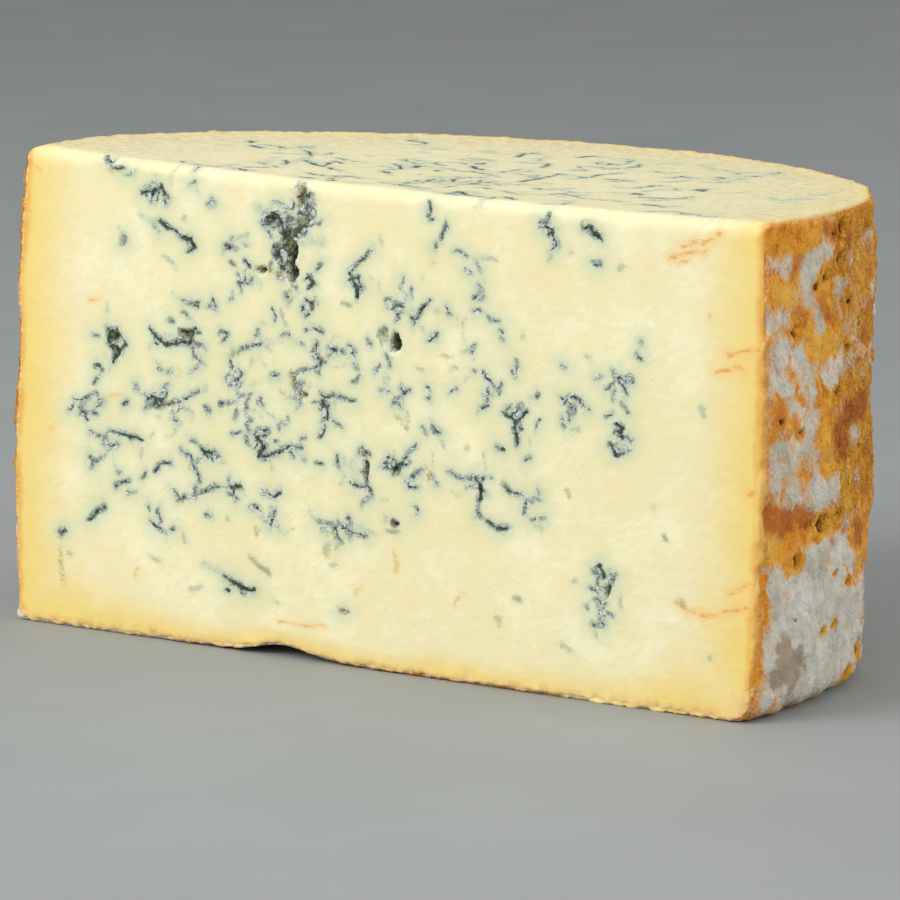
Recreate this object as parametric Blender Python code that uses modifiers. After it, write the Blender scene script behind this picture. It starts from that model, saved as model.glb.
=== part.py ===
"""A half round of blue cheese, cut from the lower half of a small wheel.

The wheel is a turned drum with an uneven rind. Two knife cuts, one upright just in front of its axis and
one across it, leave a D-shaped block that stands on the wheel's own flat end. Pockets in the paste open on
the cut faces, pits open on the rind, and a low arch under the front edge leaves a gap there.

Units are metres, with +Z up. The upright cut looks along -Y, and the block is centred over the origin.
"""

import math
import random

import bmesh
import bpy
from mathutils import Matrix, Vector

NAME = "cheese"

# The wheel before it is cut. Its axis is Z, and it stands on its flat end at Z = 0.
WHEEL_RADIUS = 0.100
WHEEL_STEPS = 120
RIM_RADIUS = 0.005
RIM_STEPS = 4
RING_COUNT = 20

# The upright cut, and the cut across the top with its falls per metre and its sag in the middle.
FRONT_CUT = 0.0096
TOP_CUT = 0.1061
TOP_FALL_RIGHT = 0.018
TOP_FALL_BACK = 0.012
TOP_SAG = 0.0013
EDGE_ROUND = 0.0018
SAG_STEPS = 10
SHARP_ANGLE = math.radians(50.0)

# The whole block leans a little to the right: metres sideways for each metre up.
LEAN = 0.025

# How the rind leaves a true cylinder, all in metres outward.
BARREL = 0.0010
SLUMP_LEFT = 0.0019
SLUMP_RIGHT = -0.0006
ROLL_DEPTH = 0.0007
LUMP_DEPTH = 0.0005

# Pockets in the upright cut: centre along X, height, half width, half height, depth.
CREVICE_DEPTH = 0.0050
CREVICE = (
    (-0.0205, 0.1010, 0.0022, 0.0036),
    (-0.0220, 0.0960, 0.0026, 0.0036),
    (-0.0235, 0.0905, 0.0023, 0.0034),
    (-0.0240, 0.0860, 0.0015, 0.0026),
    (-0.0290, 0.0975, 0.0030, 0.0016),
)
FACE_POCKETS = (
    (-0.0315, 0.0852, 0.0018, 0.0010, 0.0022),
    (-0.0715, 0.0648, 0.0018, 0.0040, 0.0026),
    (0.0035, 0.0735, 0.0024, 0.0022, 0.0030),
    (-0.0515, 0.0690, 0.0024, 0.0016, 0.0020),
    (-0.0030, 0.0440, 0.0009, 0.0036, 0.0022),
    (0.0620, 0.0245, 0.0008, 0.0024, 0.0018),
)

# Deep pits in the rind near the right end of the cut: degrees round the wheel, height, radius, depth.
NEAR_PITS = (
    (1.0, 0.0825, 0.0020, 0.0022),
    (6.5, 0.0673, 0.0022, 0.0030),
    (11.0, 0.0675, 0.0018, 0.0020),
    (8.5, 0.0925, 0.0020, 0.0018),
    (12.5, 0.1005, 0.0022, 0.0022),
    (2.5, 0.0330, 0.0020, 0.0022),
    (8.0, 0.0400, 0.0020, 0.0026),
    (20.0, 0.0530, 0.0018, 0.0020),
    (20.0, 0.0030, 0.0024, 0.0016),
    (25.0, 0.0070, 0.0028, 0.0020),
)
FAR_PIT_COUNT = 18
FAR_PIT_ANGLES = (45.0, 176.0)
HOLLOW_SEED = 11

# The arch under the front edge: its middle along X, half width, depth behind the cut face, height.
ARCH_MIDDLE = -0.027
ARCH_HALF_WIDTH = 0.017
ARCH_REACH = 0.020
ARCH_HEIGHT = 0.0030

PASTE_COLOUR = (0.86, 0.74, 0.42, 1.0)
PASTE_ROUGHNESS = 0.5


def clear_scene():
    """Removes everything that the opened file holds in its scene."""
    for obj in list(bpy.data.objects):
        bpy.data.objects.remove(obj, do_unlink=True)


def new_collection(name, hidden=False):
    """A collection in the scene, left out of renders if hidden."""
    collection = bpy.data.collections.new(name)
    collection.hide_render = hidden
    bpy.context.scene.collection.children.link(collection)
    return collection


def paste_material():
    """Pale cream-yellow paste with a soft sheen."""
    material = bpy.data.materials.new("paste")
    material.use_nodes = True
    shader = material.node_tree.nodes["Principled BSDF"]
    shader.inputs["Base Color"].default_value = PASTE_COLOUR
    shader.inputs["Roughness"].default_value = PASTE_ROUGHNESS
    shader.inputs["Metallic"].default_value = 0.0
    return material


def object_from(bm, name, collection):
    """Turns a bmesh into a named object in a collection."""
    mesh = bpy.data.meshes.new(name)
    bm.to_mesh(mesh)
    bm.free()
    obj = bpy.data.objects.new(name, mesh)
    collection.objects.link(obj)
    return obj


def mesh_of(obj):
    """A new mesh with the object's modifiers carried out."""
    graph = bpy.context.evaluated_depsgraph_get()
    return bpy.data.meshes.new_from_object(obj.evaluated_get(graph))


def side_profile():
    """The outer side of the wheel's section, from the top cut down and round the lower rim."""
    points = []
    for ring in range(RING_COUNT):
        share = ring / (RING_COUNT - 1)
        points.append((WHEEL_RADIUS, TOP_CUT + share * (RIM_RADIUS - TOP_CUT)))
    for step in range(1, RIM_STEPS + 1):
        turn = math.radians(90.0) * step / RIM_STEPS
        across = WHEEL_RADIUS - RIM_RADIUS * (1.0 - math.cos(turn))
        points.append((across, RIM_RADIUS * (1.0 - math.sin(turn))))
    return points


def turned_wheel(collection):
    """The wheel's side, turned about Z by a Screw modifier, as a bmesh with both its ends filled."""
    section = bmesh.new()
    corners = [section.verts.new((across, 0.0, up)) for across, up in side_profile()]
    for upper, lower in zip(corners, corners[1:]):
        section.edges.new((upper, lower))
    side = object_from(section, "wheel_side", collection)
    screw = side.modifiers.new("turn", "SCREW")
    screw.axis = "Z"
    screw.steps = WHEEL_STEPS
    screw.render_steps = WHEEL_STEPS
    screw.use_merge_vertices = True
    screw.merge_threshold = 0.00001
    turned = mesh_of(side)
    bpy.data.objects.remove(side, do_unlink=True)

    wheel = bmesh.new()
    wheel.from_mesh(turned)
    bpy.data.meshes.remove(turned)
    bmesh.ops.holes_fill(wheel, edges=wheel.edges, sides=0)
    return wheel


def slice_upright(wheel):
    """Takes away what lies in front of the upright cut and closes the block there."""
    everything = wheel.verts[:] + wheel.edges[:] + wheel.faces[:]
    cut = bmesh.ops.bisect_plane(
        wheel, geom=everything, plane_co=(0.0, -FRONT_CUT, 0.0), plane_no=(0.0, -1.0, 0.0), clear_outer=True
    )
    outline = [item for item in cut["geom_cut"] if isinstance(item, bmesh.types.BMEdge)]
    bmesh.ops.edgeloop_fill(wheel, edges=outline)


def round_edges(block):
    """Softens every edge that the knife left sharp."""
    sharp = [edge for edge in block.edges if edge.calc_face_angle() > SHARP_ANGLE]
    bmesh.ops.bevel(
        block, geom=sharp, offset=EDGE_ROUND, segments=3, profile=0.5, affect="EDGES", clamp_overlap=True
    )


def score_top(block):
    """Splits the long faces of the two cuts across, so that the top can sag."""
    for step in range(1, SAG_STEPS):
        across = WHEEL_RADIUS * (2.0 * step / SAG_STEPS - 1.0)
        faces = [face for face in block.faces if face.normal.z > 0.3 or face.normal.y < -0.3]
        edges = {edge for face in faces for edge in face.edges}
        verts = {vert for face in faces for vert in face.verts}
        geometry = list(verts) + list(edges) + faces
        bmesh.ops.bisect_plane(block, geom=geometry, plane_co=(across, 0.0, 0.0), plane_no=(1.0, 0.0, 0.0))


def rind_swell(angle, height):
    """How far the rind stands out from a true cylinder, at an angle round the wheel and a height."""
    level = min(height / TOP_CUT, 1.0)
    toward_left = 0.5 - 0.5 * math.cos(angle)
    barrel = BARREL * math.sin(math.pi * level)
    slump = (SLUMP_RIGHT + (SLUMP_LEFT - SLUMP_RIGHT) * toward_left) * (1.0 - level)
    roll = ROLL_DEPTH * math.sin(3.0 * angle + 2.2 * level + 0.6) * math.sin(angle)
    lump = LUMP_DEPTH * math.sin(13.0 * angle + 1.0) * math.sin(14.0 * level + 4.0 * angle)
    return barrel + slump + roll + lump


def top_drop(x, y):
    """How far the top cut lies under TOP_CUT: it falls to the right and back, and sags in the middle."""
    sag = TOP_SAG * (1.0 - min((x / WHEEL_RADIUS) ** 2, 1.0))
    return TOP_FALL_RIGHT * x + TOP_FALL_BACK * y + sag


def settle(point):
    """Moves a point of the even block to its place on the uneven one. The upright cut stays flat."""
    level = point.z / TOP_CUT
    swell = rind_swell(math.atan2(point.y, point.x), point.z)
    growth = 1.0 + swell / WHEEL_RADIUS
    x = point.x * growth
    y = (point.y + FRONT_CUT) * growth - FRONT_CUT
    z = point.z - level * top_drop(x, y)
    return Vector((x + LEAN * z, y, z))


def half_round(collection, material):
    """The whole block without its hollows."""
    block = turned_wheel(collection)
    slice_upright(block)
    round_edges(block)
    score_top(block)
    for vertex in block.verts:
        vertex.co = settle(vertex.co)
    cheese = object_from(block, NAME, collection)
    cheese.data.materials.append(material)
    return cheese


def hollow(name, centre, radii, facing, collection, random_source):
    """A ragged ball that scoops one pocket: radii are across, up and in along the facing direction."""
    across = Vector((0.0, 0.0, 1.0)).cross(facing).normalized()
    turn = Matrix((across, Vector((0.0, 0.0, 1.0)), facing)).transposed().to_4x4()
    bm = bmesh.new()
    bmesh.ops.create_icosphere(bm, subdivisions=2, radius=1.0)
    for vertex in bm.verts:
        vertex.co *= random_source.uniform(0.82, 1.12)
    place = Matrix.Translation(centre) @ turn @ Matrix.Diagonal((*radii, 1.0))
    bmesh.ops.transform(bm, matrix=place, verts=bm.verts)
    object_from(bm, name, collection)


def scoop_face(collection, random_source):
    """The crevice and the small pockets in the upright cut."""
    facing = Vector((0.0, -1.0, 0.0))
    pockets = [(x, up, wide, high, CREVICE_DEPTH) for x, up, wide, high in CREVICE]
    for number, (x, up, wide, high, depth) in enumerate(pockets + list(FACE_POCKETS), 1):
        centre = settle(Vector((x, -FRONT_CUT, up)))
        hollow(f"pocket_{number}", centre, (wide, high, depth), facing, collection, random_source)


def scoop_rind(collection, random_source):
    """The deep pits near the cut's right end, and others scattered round the back of the rind."""
    pits = list(NEAR_PITS)
    for _ in range(FAR_PIT_COUNT):
        angle = random_source.uniform(*FAR_PIT_ANGLES)
        height = random_source.uniform(0.06, 0.92) * TOP_CUT
        radius = random_source.uniform(0.0016, 0.0026)
        pits.append((angle, height, radius, radius))
    for number, (degrees, height, radius, depth) in enumerate(pits, 1):
        angle = math.radians(degrees)
        facing = Vector((math.cos(angle), math.sin(angle), 0.0))
        centre = settle(facing * WHEEL_RADIUS + Vector((0.0, 0.0, height)))
        hollow(f"pit_{number}", centre, (radius, radius, depth), facing, collection, random_source)


def scoop_arch(collection):
    """A flattened ball whose upper half hollows the arch under the front edge."""
    bm = bmesh.new()
    place = Matrix.Translation((ARCH_MIDDLE, -FRONT_CUT, 0.0))
    size = Matrix.Diagonal((ARCH_HALF_WIDTH, ARCH_REACH, ARCH_HEIGHT, 1.0))
    bmesh.ops.create_uvsphere(bm, u_segments=24, v_segments=10, radius=1.0, matrix=place @ size)
    object_from(bm, "arch", collection)


def take_away(target, collection):
    """Takes every shape in a collection from the target by one Boolean."""
    modifier = target.modifiers.new(collection.name, "BOOLEAN")
    modifier.operation = "DIFFERENCE"
    modifier.solver = "EXACT"
    modifier.operand_type = "COLLECTION"
    modifier.collection = collection


def stand_on_origin(cheese, cutters):
    """Parents the cutters to the cheese and moves it so that its box stands centred on the origin."""
    for cutter in cutters:
        cutter.parent = cheese
    bpy.context.view_layer.update()
    mesh = mesh_of(cheese)
    low = [min(vertex.co[axis] for vertex in mesh.vertices) for axis in range(3)]
    high = [max(vertex.co[axis] for vertex in mesh.vertices) for axis in range(3)]
    bpy.data.meshes.remove(mesh)
    cheese.location = (-(low[0] + high[0]) / 2.0, -(low[1] + high[1]) / 2.0, -low[2])


def build():
    """Makes the block, scoops its hollows and stands it on the origin."""
    clear_scene()
    parts = new_collection(NAME)
    hollows = new_collection("hollows", hidden=True)
    random_source = random.Random(HOLLOW_SEED)

    cheese = half_round(parts, paste_material())
    scoop_face(hollows, random_source)
    scoop_rind(hollows, random_source)
    scoop_arch(hollows)
    for cutter in hollows.objects:
        cutter.hide_render = True
        cutter.display_type = "WIRE"
    take_away(cheese, hollows)
    stand_on_origin(cheese, hollows.objects)
    cheese.data.shade_smooth()
    cheese.data.set_sharp_from_angle(angle=SHARP_ANGLE)


build()
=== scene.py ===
"""A half round of blue-veined cheese, standing on its flat end in a plain studio.

The block is one closed mesh. Its surface is laid out flat as four sheets (the side, the two ends of the wheel
and the upright cut), filled with triangles that get finer near veins, cracks and pits, then bent into shape.
Veins and stains are drawn on the cut faces as strokes in millimetres and carried by the mesh as attributes,
which one material turns into paste, mould and rind.

All modelling is in millimetres in the wheel's own frame: its axis is Z and the upright cut looks along -Y.
"""

import logging
import math
from dataclasses import dataclass, field
from enum import Enum
from typing import Callable, Sequence

import bpy
import numpy as np
from mathutils import Matrix, Vector
from mathutils.geometry import delaunay_2d_cdt


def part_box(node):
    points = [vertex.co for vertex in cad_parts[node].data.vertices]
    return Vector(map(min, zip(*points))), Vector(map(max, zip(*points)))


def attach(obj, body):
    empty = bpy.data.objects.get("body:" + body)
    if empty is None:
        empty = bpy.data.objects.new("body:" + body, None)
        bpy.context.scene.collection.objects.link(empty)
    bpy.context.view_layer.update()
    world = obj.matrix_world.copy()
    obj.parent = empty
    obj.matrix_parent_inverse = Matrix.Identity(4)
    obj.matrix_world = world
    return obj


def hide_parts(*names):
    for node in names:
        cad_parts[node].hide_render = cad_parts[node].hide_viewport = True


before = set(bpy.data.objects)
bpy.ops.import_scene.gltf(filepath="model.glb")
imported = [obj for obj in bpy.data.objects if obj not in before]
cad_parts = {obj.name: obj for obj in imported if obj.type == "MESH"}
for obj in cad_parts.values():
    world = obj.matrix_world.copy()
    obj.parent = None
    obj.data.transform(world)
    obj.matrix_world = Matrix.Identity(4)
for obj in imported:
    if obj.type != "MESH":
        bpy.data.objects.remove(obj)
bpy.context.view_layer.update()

BODY = "root"
CHEESE_NODE = "cheese"
MM = 0.001
PICTURE_SIDE = 900

Array = np.ndarray
Path = tuple[tuple[float, float], ...]
Colour = tuple[float, float, float]


def srgb(red: int, green: int, blue: int) -> Colour:
    """A display colour, 0 to 255 a channel, as linear light."""
    shares = [channel / 255.0 for channel in (red, green, blue)]
    linear = [s / 12.92 if s <= 0.04045 else ((s + 0.055) / 1.055) ** 2.4 for s in shares]
    return (linear[0], linear[1], linear[2])


def ramp(value: Array, low: float, high: float) -> Array:
    """Rises smoothly from 0 at low to 1 at high, or falls if low is the larger."""
    share = np.clip((value - low) / (high - low), 0.0, 1.0)
    return share * share * (3.0 - 2.0 * share)


@dataclass(frozen=True)
class ValueNoise:
    """Smooth random values in space, from -1 to 1 and the same on every run.

    Its grains are size millimetres wide. Each further octave halves both their width and their height, and turns
    the lattice, so that its lines don't show.
    """

    size: float
    seed: int
    octaves: int = 1

    TURN = np.array(((0.36, -0.8, 0.48), (0.48, 0.6, 0.64), (-0.8, 0.0, 0.6)))

    def _corner(self, cell: Array, seed: int) -> Array:
        """The random value at whole-number lattice corners."""
        mixed = cell[:, 0] * 374761393 + cell[:, 1] * 668265263 + cell[:, 2] * 2147483647 + seed * 144665
        mixed = (mixed ^ (mixed >> 13)) * 1274126177
        mixed = mixed ^ (mixed >> 16)
        return (mixed & 0xFFFF) / 32767.5 - 1.0

    def _layer(self, points: Array, size: float, seed: int) -> Array:
        """One octave.

        Args:
            points: places in millimetres, one a row.
            size: the grain's width.
            seed: picks the pattern.

        Returns:
            One value for each point.
        """
        scaled = points / size
        base = np.floor(scaled).astype(np.int64)
        part = scaled - base
        part = part * part * (3.0 - 2.0 * part)
        total = np.zeros(len(points))
        for corner in range(8):
            offset = np.array([corner & 1, corner >> 1 & 1, corner >> 2 & 1])
            weight = np.prod(np.where(offset == 1, part, 1.0 - part), axis=1)
            total += weight * self._corner(base + offset, seed)
        return total

    def at(self, points: Array) -> Array:
        """The noise at points with two or three columns."""
        if points.shape[1] == 2:
            points = np.column_stack([points, np.zeros(len(points))])
        total = np.zeros(len(points))
        for octave in range(self.octaves):
            points = points @ self.TURN
            total += self._layer(points, self.size / 2.0**octave, self.seed + 17 * octave) / 2.0**octave
        return total


class Mould(Enum):
    """What a mark on a cut or on the rind is made of."""

    DARK = "core"
    PALE = "pale"
    HAZE = "haze"
    OLIVE = "olive"
    OCHRE = "ochre"
    RUST = "rust"
    BLOOM = "bloom"
    BARE = "bare"
    TAWNY = "tawny"
    UMBER = "umber"
    TAUPE = "taupe"


DISTANCE_LAYERS = ("core", "ink", "pale")
CUT_LAYERS = ("core", "ink", "pale", "haze", "olive", "ochre", "rust", "hollow")


@dataclass(frozen=True)
class VeinGroup:
    """Strokes of one kind and width. Each path is its corners in millimetres."""

    kind: Mould
    width: float
    paths: tuple[Path, ...]


@dataclass(frozen=True)
class Cluster:
    """A tangle of short strokes about a centre, with reach across and up, in millimetres."""

    centre: tuple[float, float]
    reach: tuple[float, float]
    strokes: int
    width: float = 0.7


@dataclass(frozen=True)
class Pocket:
    """A ragged hole in a cut face: centre, half width, half height and depth in millimetres."""

    centre: tuple[float, float]
    half: tuple[float, float]
    depth: float


FACE_VEINS = (
    VeinGroup(Mould.DARK, 3.2, (
        ((-31, 96.4), (-28.6, 97.6), (-26, 96.2), (-24.4, 92)), ((-25.4, 92.4), (-24.4, 88), (-23.2, 84.6)),
        ((-20.6, 102.8), (-19.6, 99.4), (-20.8, 96), (-22.6, 94)), ((-27.6, 90.4), (-26.4, 87)),
    )),
    VeinGroup(Mould.DARK, 1.3, (
        ((-66.5, 99.2), (-64.5, 99.8), (-62, 99.6), (-60.5, 101), (-59.5, 99.8), (-58, 98.6)),
        ((-61, 92.9), (-59, 92.3), (-55, 90.8), (-51.5, 89.9), (-50.4, 88.6), (-52.3, 87.2)),
        ((-62, 69.6), (-59.5, 67.5), (-57, 66.3), (-54, 66.8), (-51, 67.2), (-50.4, 69.2)),
        ((-53.5, 69.8), (-51, 69), (-49.5, 71)),
        ((-73, 67.6), (-73.4, 65.4), (-71.9, 63), (-72.6, 60.2)),
        ((-71.4, 68.4), (-69.6, 66.2), (-68.2, 64.7), (-70.2, 63)),
        ((-78.3, 24.6), (-77.3, 25.6), (-76.2, 27.2), (-74, 28.7)),
        ((-40, 16.3), (-37, 15.2), (-34, 14.4), (-31.2, 14.1)),
        ((-72, 45.6), (-69, 45.2), (-66, 44.7), (-63.2, 44.2)),
        ((-62.5, 53.4), (-60, 54.4), (-58, 53.8), (-57, 55.6)),
        ((-19.6, 84.6), (-18.2, 85), (-17, 83.8), (-18.5, 82.6)),
        ((-7.6, 87), (-6.5, 85.2), (-5.2, 83.4), (-5.6, 82)),
        ((8.5, 79), (10.4, 78.8), (11.5, 80.4), (13.6, 82.6)),
        ((-31, 44), (-29.5, 46), (-31.5, 48.3), (-29, 49.3)),
        ((34, 60.6), (36, 60.2), (37, 58.8), (38.6, 60.4), (40.3, 61.4)),
        ((37, 59), (37.4, 56.5), (37.7, 54)),
        ((54, 102), (55.4, 102.4), (57, 101), (58.4, 99.7)),
        ((30.2, 36.2), (31.6, 35.6), (33, 35), (35.6, 35.5)),
        ((59.4, 29.8), (60.2, 28.6), (61, 27.3)),
        ((63, 60.8), (64.4, 60), (64.6, 58.4)),
        ((61.6, 56), (63.2, 54.4), (65, 54.6)),
        ((-13.8, 58.4), (-12.6, 56.6), (-13, 54.2)),
        ((-43.8, 43.6), (-45.6, 43.2), (-47, 44.4), (-45, 42)),
        ((26.8, 45.6), (28, 44.6), (28.4, 43.2), (28.2, 41)),
        ((-28, 36.4), (-26.6, 35.8), (-24.9, 36.9)),
    )),
    VeinGroup(Mould.DARK, 0.85, (
        ((-77.3, 106.4), (-75.8, 105.2), (-74.3, 105.4)), ((-74.4, 104), (-72.4, 103.6), (-70.6, 104)),
        ((-51.8, 102.2), (-50.6, 102.6)), ((-51.1, 106), (-50.8, 106.1)), ((-47, 98.3), (-45.2, 98.9)),
        ((-70.2, 89.2), (-69.6, 88), (-70.6, 87)), ((-42, 89.8), (-41, 89.1), (-38.6, 89.3)),
        ((-40.1, 91.3), (-39.7, 91.2)), ((-36.4, 90.3), (-35.7, 90.5)), ((-40.2, 86.3), (-39.2, 85.6)),
        ((-37.6, 82.3), (-35.2, 82.1), (-33.9, 83.2)), ((-36.2, 86.6), (-34.8, 85.2)),
        ((-53, 76.1), (-50.6, 76.3), (-48.4, 75.7)), ((-46, 76), (-43.6, 76), (-44.6, 77.8)),
        ((-56.3, 71.6), (-55.6, 71.3)), ((-61.8, 69.3), (-60.6, 67.6), (-60.2, 66.2)),
        ((-50.2, 66.2), (-49.6, 64.2), (-48, 63.3)), ((-49.8, 69.6), (-47.8, 69.4)),
        ((-78, 66), (-76.2, 66.3)), ((-58.6, 60.8), (-58, 60.7)), ((-56.4, 60.3), (-55.4, 60.1)),
        ((-39.6, 64.6), (-39, 62.2), (-37.2, 61.4)), ((-39.8, 59.3), (-39, 59.2)),
        ((-37, 67), (-34, 68), (-31, 69)), ((-42.4, 70.5), (-40.6, 70.5), (-41, 68.5)),
        ((-60, 52.1), (-56, 53.4), (-52, 54.8), (-48, 56.8)), ((-46, 53.5), (-44.6, 52.1)),
        ((-42.4, 54.5), (-41, 54.4)), ((-39.5, 54.6), (-38, 55.6), (-37, 56)), ((-34.5, 53.1), (-34.3, 54.9)),
        ((-83, 51), (-81, 51.6), (-79, 52.4)), ((-84.6, 48), (-83.6, 49.4)),
        ((-81.5, 49.5), (-79.6, 48.8), (-77, 48.7)), ((-79.6, 48.6), (-79.4, 47.2)),
        ((-77, 50.5), (-75.6, 51.3), (-74.5, 51.8)), ((-69, 51.5), (-67.9, 52.3)),
        ((-78.5, 44.4), (-76.8, 43.6), (-75, 43.3)), ((-73.4, 41.6), (-71.8, 41.9), (-70.4, 42.5)),
        ((-78.6, 39.2), (-77.2, 38.2), (-76.2, 37.6)), ((-70.4, 36.8), (-69.9, 36.6)),
        ((-71.2, 33.3), (-69.2, 34.3), (-67.2, 34.7)), ((-63.6, 35.8), (-62.1, 36.9)),
        ((-66.2, 32.6), (-65.4, 32.3)), ((-59.6, 37.6), (-57.6, 39.6), (-55.2, 40.3)),
        ((-53.6, 31.9), (-51, 32.8), (-48, 34), (-44, 35.6), (-41.4, 36.4)),
        ((-50, 45.8), (-48.6, 45.3)), ((-52.4, 43.4), (-50.2, 41.6), (-48.2, 39.1), (-47.3, 36.9)),
        ((-38, 48.4), (-36.2, 49)), ((-39.4, 36.8), (-38.2, 36.2), (-37.2, 36.6)), ((-39.3, 34.9), (-37, 33.9)),
        ((-86.6, 20.9), (-85.2, 21.9)), ((-60.8, 26.2), (-58.2, 24.6), (-56.6, 24)), ((-55, 25), (-54.4, 25.1)),
        ((-45.4, 30), (-44.1, 30)), ((-39.6, 13.9), (-38.4, 13.7)), ((-35, 13.5), (-34, 13.2)),
        ((-25.2, 80.3), (-24, 80.2)), ((-19.4, 80), (-17, 79.4), (-17.6, 77.6), (-18.9, 76)),
        ((-16.4, 87), (-15.6, 88.1)), ((-18.6, 73.2), (-17, 73.9), (-14.6, 73.4)),
        ((-16, 71), (-16, 68.2), (-15, 66.6), (-16.4, 65.4)), ((-19.9, 70.1), (-19.4, 69.9)),
        ((-13, 70.2), (-10.6, 69.8), (-8.6, 69.3)), ((-6.6, 69.6), (-6, 68.8)),
        ((-1.8, 92.3), (-4.8, 90), (-7.2, 87.8)), ((-5.2, 86.6), (-4.6, 84.8), (-4, 83.2)),
        ((3.4, 80), (5, 81.6), (6.6, 81)), ((4.6, 79.2), (6.4, 79.6)), ((14, 74.1), (15, 75), (16, 76.2)),
        ((13.6, 104), (13.4, 101.4), (14.2, 101)), ((18, 99.8), (17.4, 98), (16.9, 96)),
        ((20.8, 94.3), (22.4, 93.9), (23.8, 93.2)), ((23.8, 90.4), (24.4, 90.2)),
        ((26.4, 87.8), (28, 86.2), (26.6, 85), (25.6, 84)), ((25.8, 81.4), (27.2, 81.8)),
        ((26, 74.4), (25.4, 73.6), (25, 72.8)), ((25.6, 68.9), (26.1, 68.7)),
        ((28.4, 68.9), (29.4, 67.4), (31.4, 65.5)), ((27.6, 60.4), (28.8, 60.9), (29.9, 61.4)),
        ((-28, 62), (-26.8, 62.5), (-25.6, 62.4)), ((-22.6, 63.2), (-21, 61.4), (-19.2, 61.9)),
        ((-14.4, 60), (-12.6, 59.4), (-11, 59.8), (-8.4, 59.1), (-5, 58.9)), ((-14.4, 56.4), (-13, 57.6)),
        ((6.5, 63), (7.4, 61.7), (9, 62.4)), ((4.6, 59.6), (6.8, 60.9)), ((13.8, 61.9), (14.9, 61.5)),
        ((15.3, 55.9), (16.2, 54.6), (17.3, 54)), ((-33, 48), (-31.4, 50.2), (-28.6, 50.6)),
        ((-31, 44), (-28, 45), (-25, 46), (-22.5, 47.7), (-19.4, 47.6)), ((-19.6, 49.4), (-19, 49.6)),
        ((-30, 37), (-28.4, 36)), ((-28, 29.2), (-27, 31), (-26.6, 32.4)), ((-15.4, 44), (-13.8, 44)),
        ((-10, 46.4), (-9.4, 44.2)), ((-3.4, 49.2), (-2.4, 48.6), (-1.1, 48)), ((-6.4, 41.3), (-3.4, 40.4), (-0.6, 39.6)),
        ((-2.7, 46.4), (-2.1, 43.6), (-1.3, 40.8)), ((-2.9, 36.6), (-1.4, 38.4)),
        ((1.8, 45.6), (4.8, 45.4)), ((3.5, 48), (5.4, 47.4), (5.8, 46.6)), ((8, 46.6), (9.5, 47)),
        ((7, 47), (8.8, 48.6), (11, 51.2)), ((6.2, 46.8), (4.9, 45.8), (5.3, 44.4), (6.8, 44.2), (7.2, 45.6)),
        ((8.6, 42.6), (10.4, 43.6), (12.6, 45.8)), ((9, 42), (11.8, 41.7)),
        ((20, 46.4), (21.4, 45.4), (25, 45), (28.8, 46.3)), ((28.4, 41.4), (28, 38.4), (29.2, 36.9)),
        ((-15, 31.5), (-12.6, 31), (-10, 30.8)), ((-9.3, 31.8), (-7.4, 30.8), (-5, 29.8), (-1.4, 30)),
        ((-6.8, 33.4), (-6.4, 31.8)), ((-9.4, 28.6), (-8.8, 27.9)), ((56, 94.5), (57.8, 94.6)),
        ((32.4, 78.2), (33.2, 77.8)), ((33.2, 76.7), (33.8, 76.3)), ((67.8, 76), (69, 75.4)), ((68.4, 78.6), (68.7, 78.3)),
        ((58, 70), (59, 70.5)), ((62.6, 71), (64.6, 69.2), (66, 67.1)), ((60.6, 62.3), (61.9, 62.8)),
        ((49.6, 64), (50.6, 65.6), (53.8, 65.2), (56.4, 62.9)), ((50.6, 62), (51, 60.8)),
        ((43.2, 64.9), (42.8, 64.6)), ((32.2, 53), (34.4, 52.4)), ((40, 50.6), (41.2, 51.2)),
        ((34.6, 44.9), (36.6, 43.5), (39.8, 42.6), (40.2, 40.4), (39.8, 39.1)), ((43.3, 44.3), (43.7, 43.7)),
        ((63, 26.6), (64.2, 28.1)), ((57.6, 24.9), (59.8, 24.2)), ((62.8, 25.4), (62, 23.3)),
        ((60.4, 21.6), (61.9, 21.4)), ((62.6, 19.8), (63.8, 19.4)), ((57.2, 20.3), (57.5, 20.1)),
        ((58.6, 16.8), (60.8, 17)), ((61.6, 72), (63.2, 71.6)), ((42.6, 101.6), (44.4, 101.9), (46.2, 100.6)),
    )),
    VeinGroup(Mould.PALE, 1.1, (
        ((-57.6, 103.6), (-56.6, 105), (-55.6, 106.6)), ((-53.8, 95), (-53, 94.8)), ((-71.6, 91), (-70.4, 89.2)),
        ((-59, 86.2), (-57.6, 85.2), (-56.4, 84.2)), ((-46.4, 98), (-45, 98)), ((-38.4, 92), (-35.6, 93)),
        ((-56.6, 46.1), (-55.8, 46.2)), ((-54.6, 47.4), (-54, 47.3)), ((-84.4, 17), (-83.4, 16.4)),
        ((-61.8, 19), (-59.6, 18.2), (-58, 17.7)), ((-49.8, 12.4), (-46.2, 12.8)), ((-39.4, 29.4), (-39, 29.2)),
        ((-33, 21), (-30, 19.4), (-27.6, 18.1)), ((-26.9, 12.6), (-25.2, 12.3)), ((-9.6, 80.5), (-7.3, 80.2)),
        ((14.3, 91.3), (15.2, 91)), ((-24.6, 74), (-25.8, 76.4)), ((27, 93.6), (31, 93.4)), ((63, 93.6), (63.8, 94.6)),
        ((47, 99), (47.2, 96.6)), ((50, 96.4), (51, 96.6)), ((54.6, 74.6), (55.6, 74)), ((62.6, 66.2), (63.4, 65.8)),
        ((51.6, 58.8), (53.7, 58.8)), ((42.9, 36.6), (44, 36.4)), ((53, 25.8), (54, 25.9)), ((59.8, 15.4), (60.2, 14.8)),
        ((51, 11.6), (53.5, 11.1)), ((38.4, 20.1), (39.6, 20)), ((88.4, 13.2), (89.2, 13.5)), ((72.4, 43.9), (73.2, 43.7)),
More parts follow.
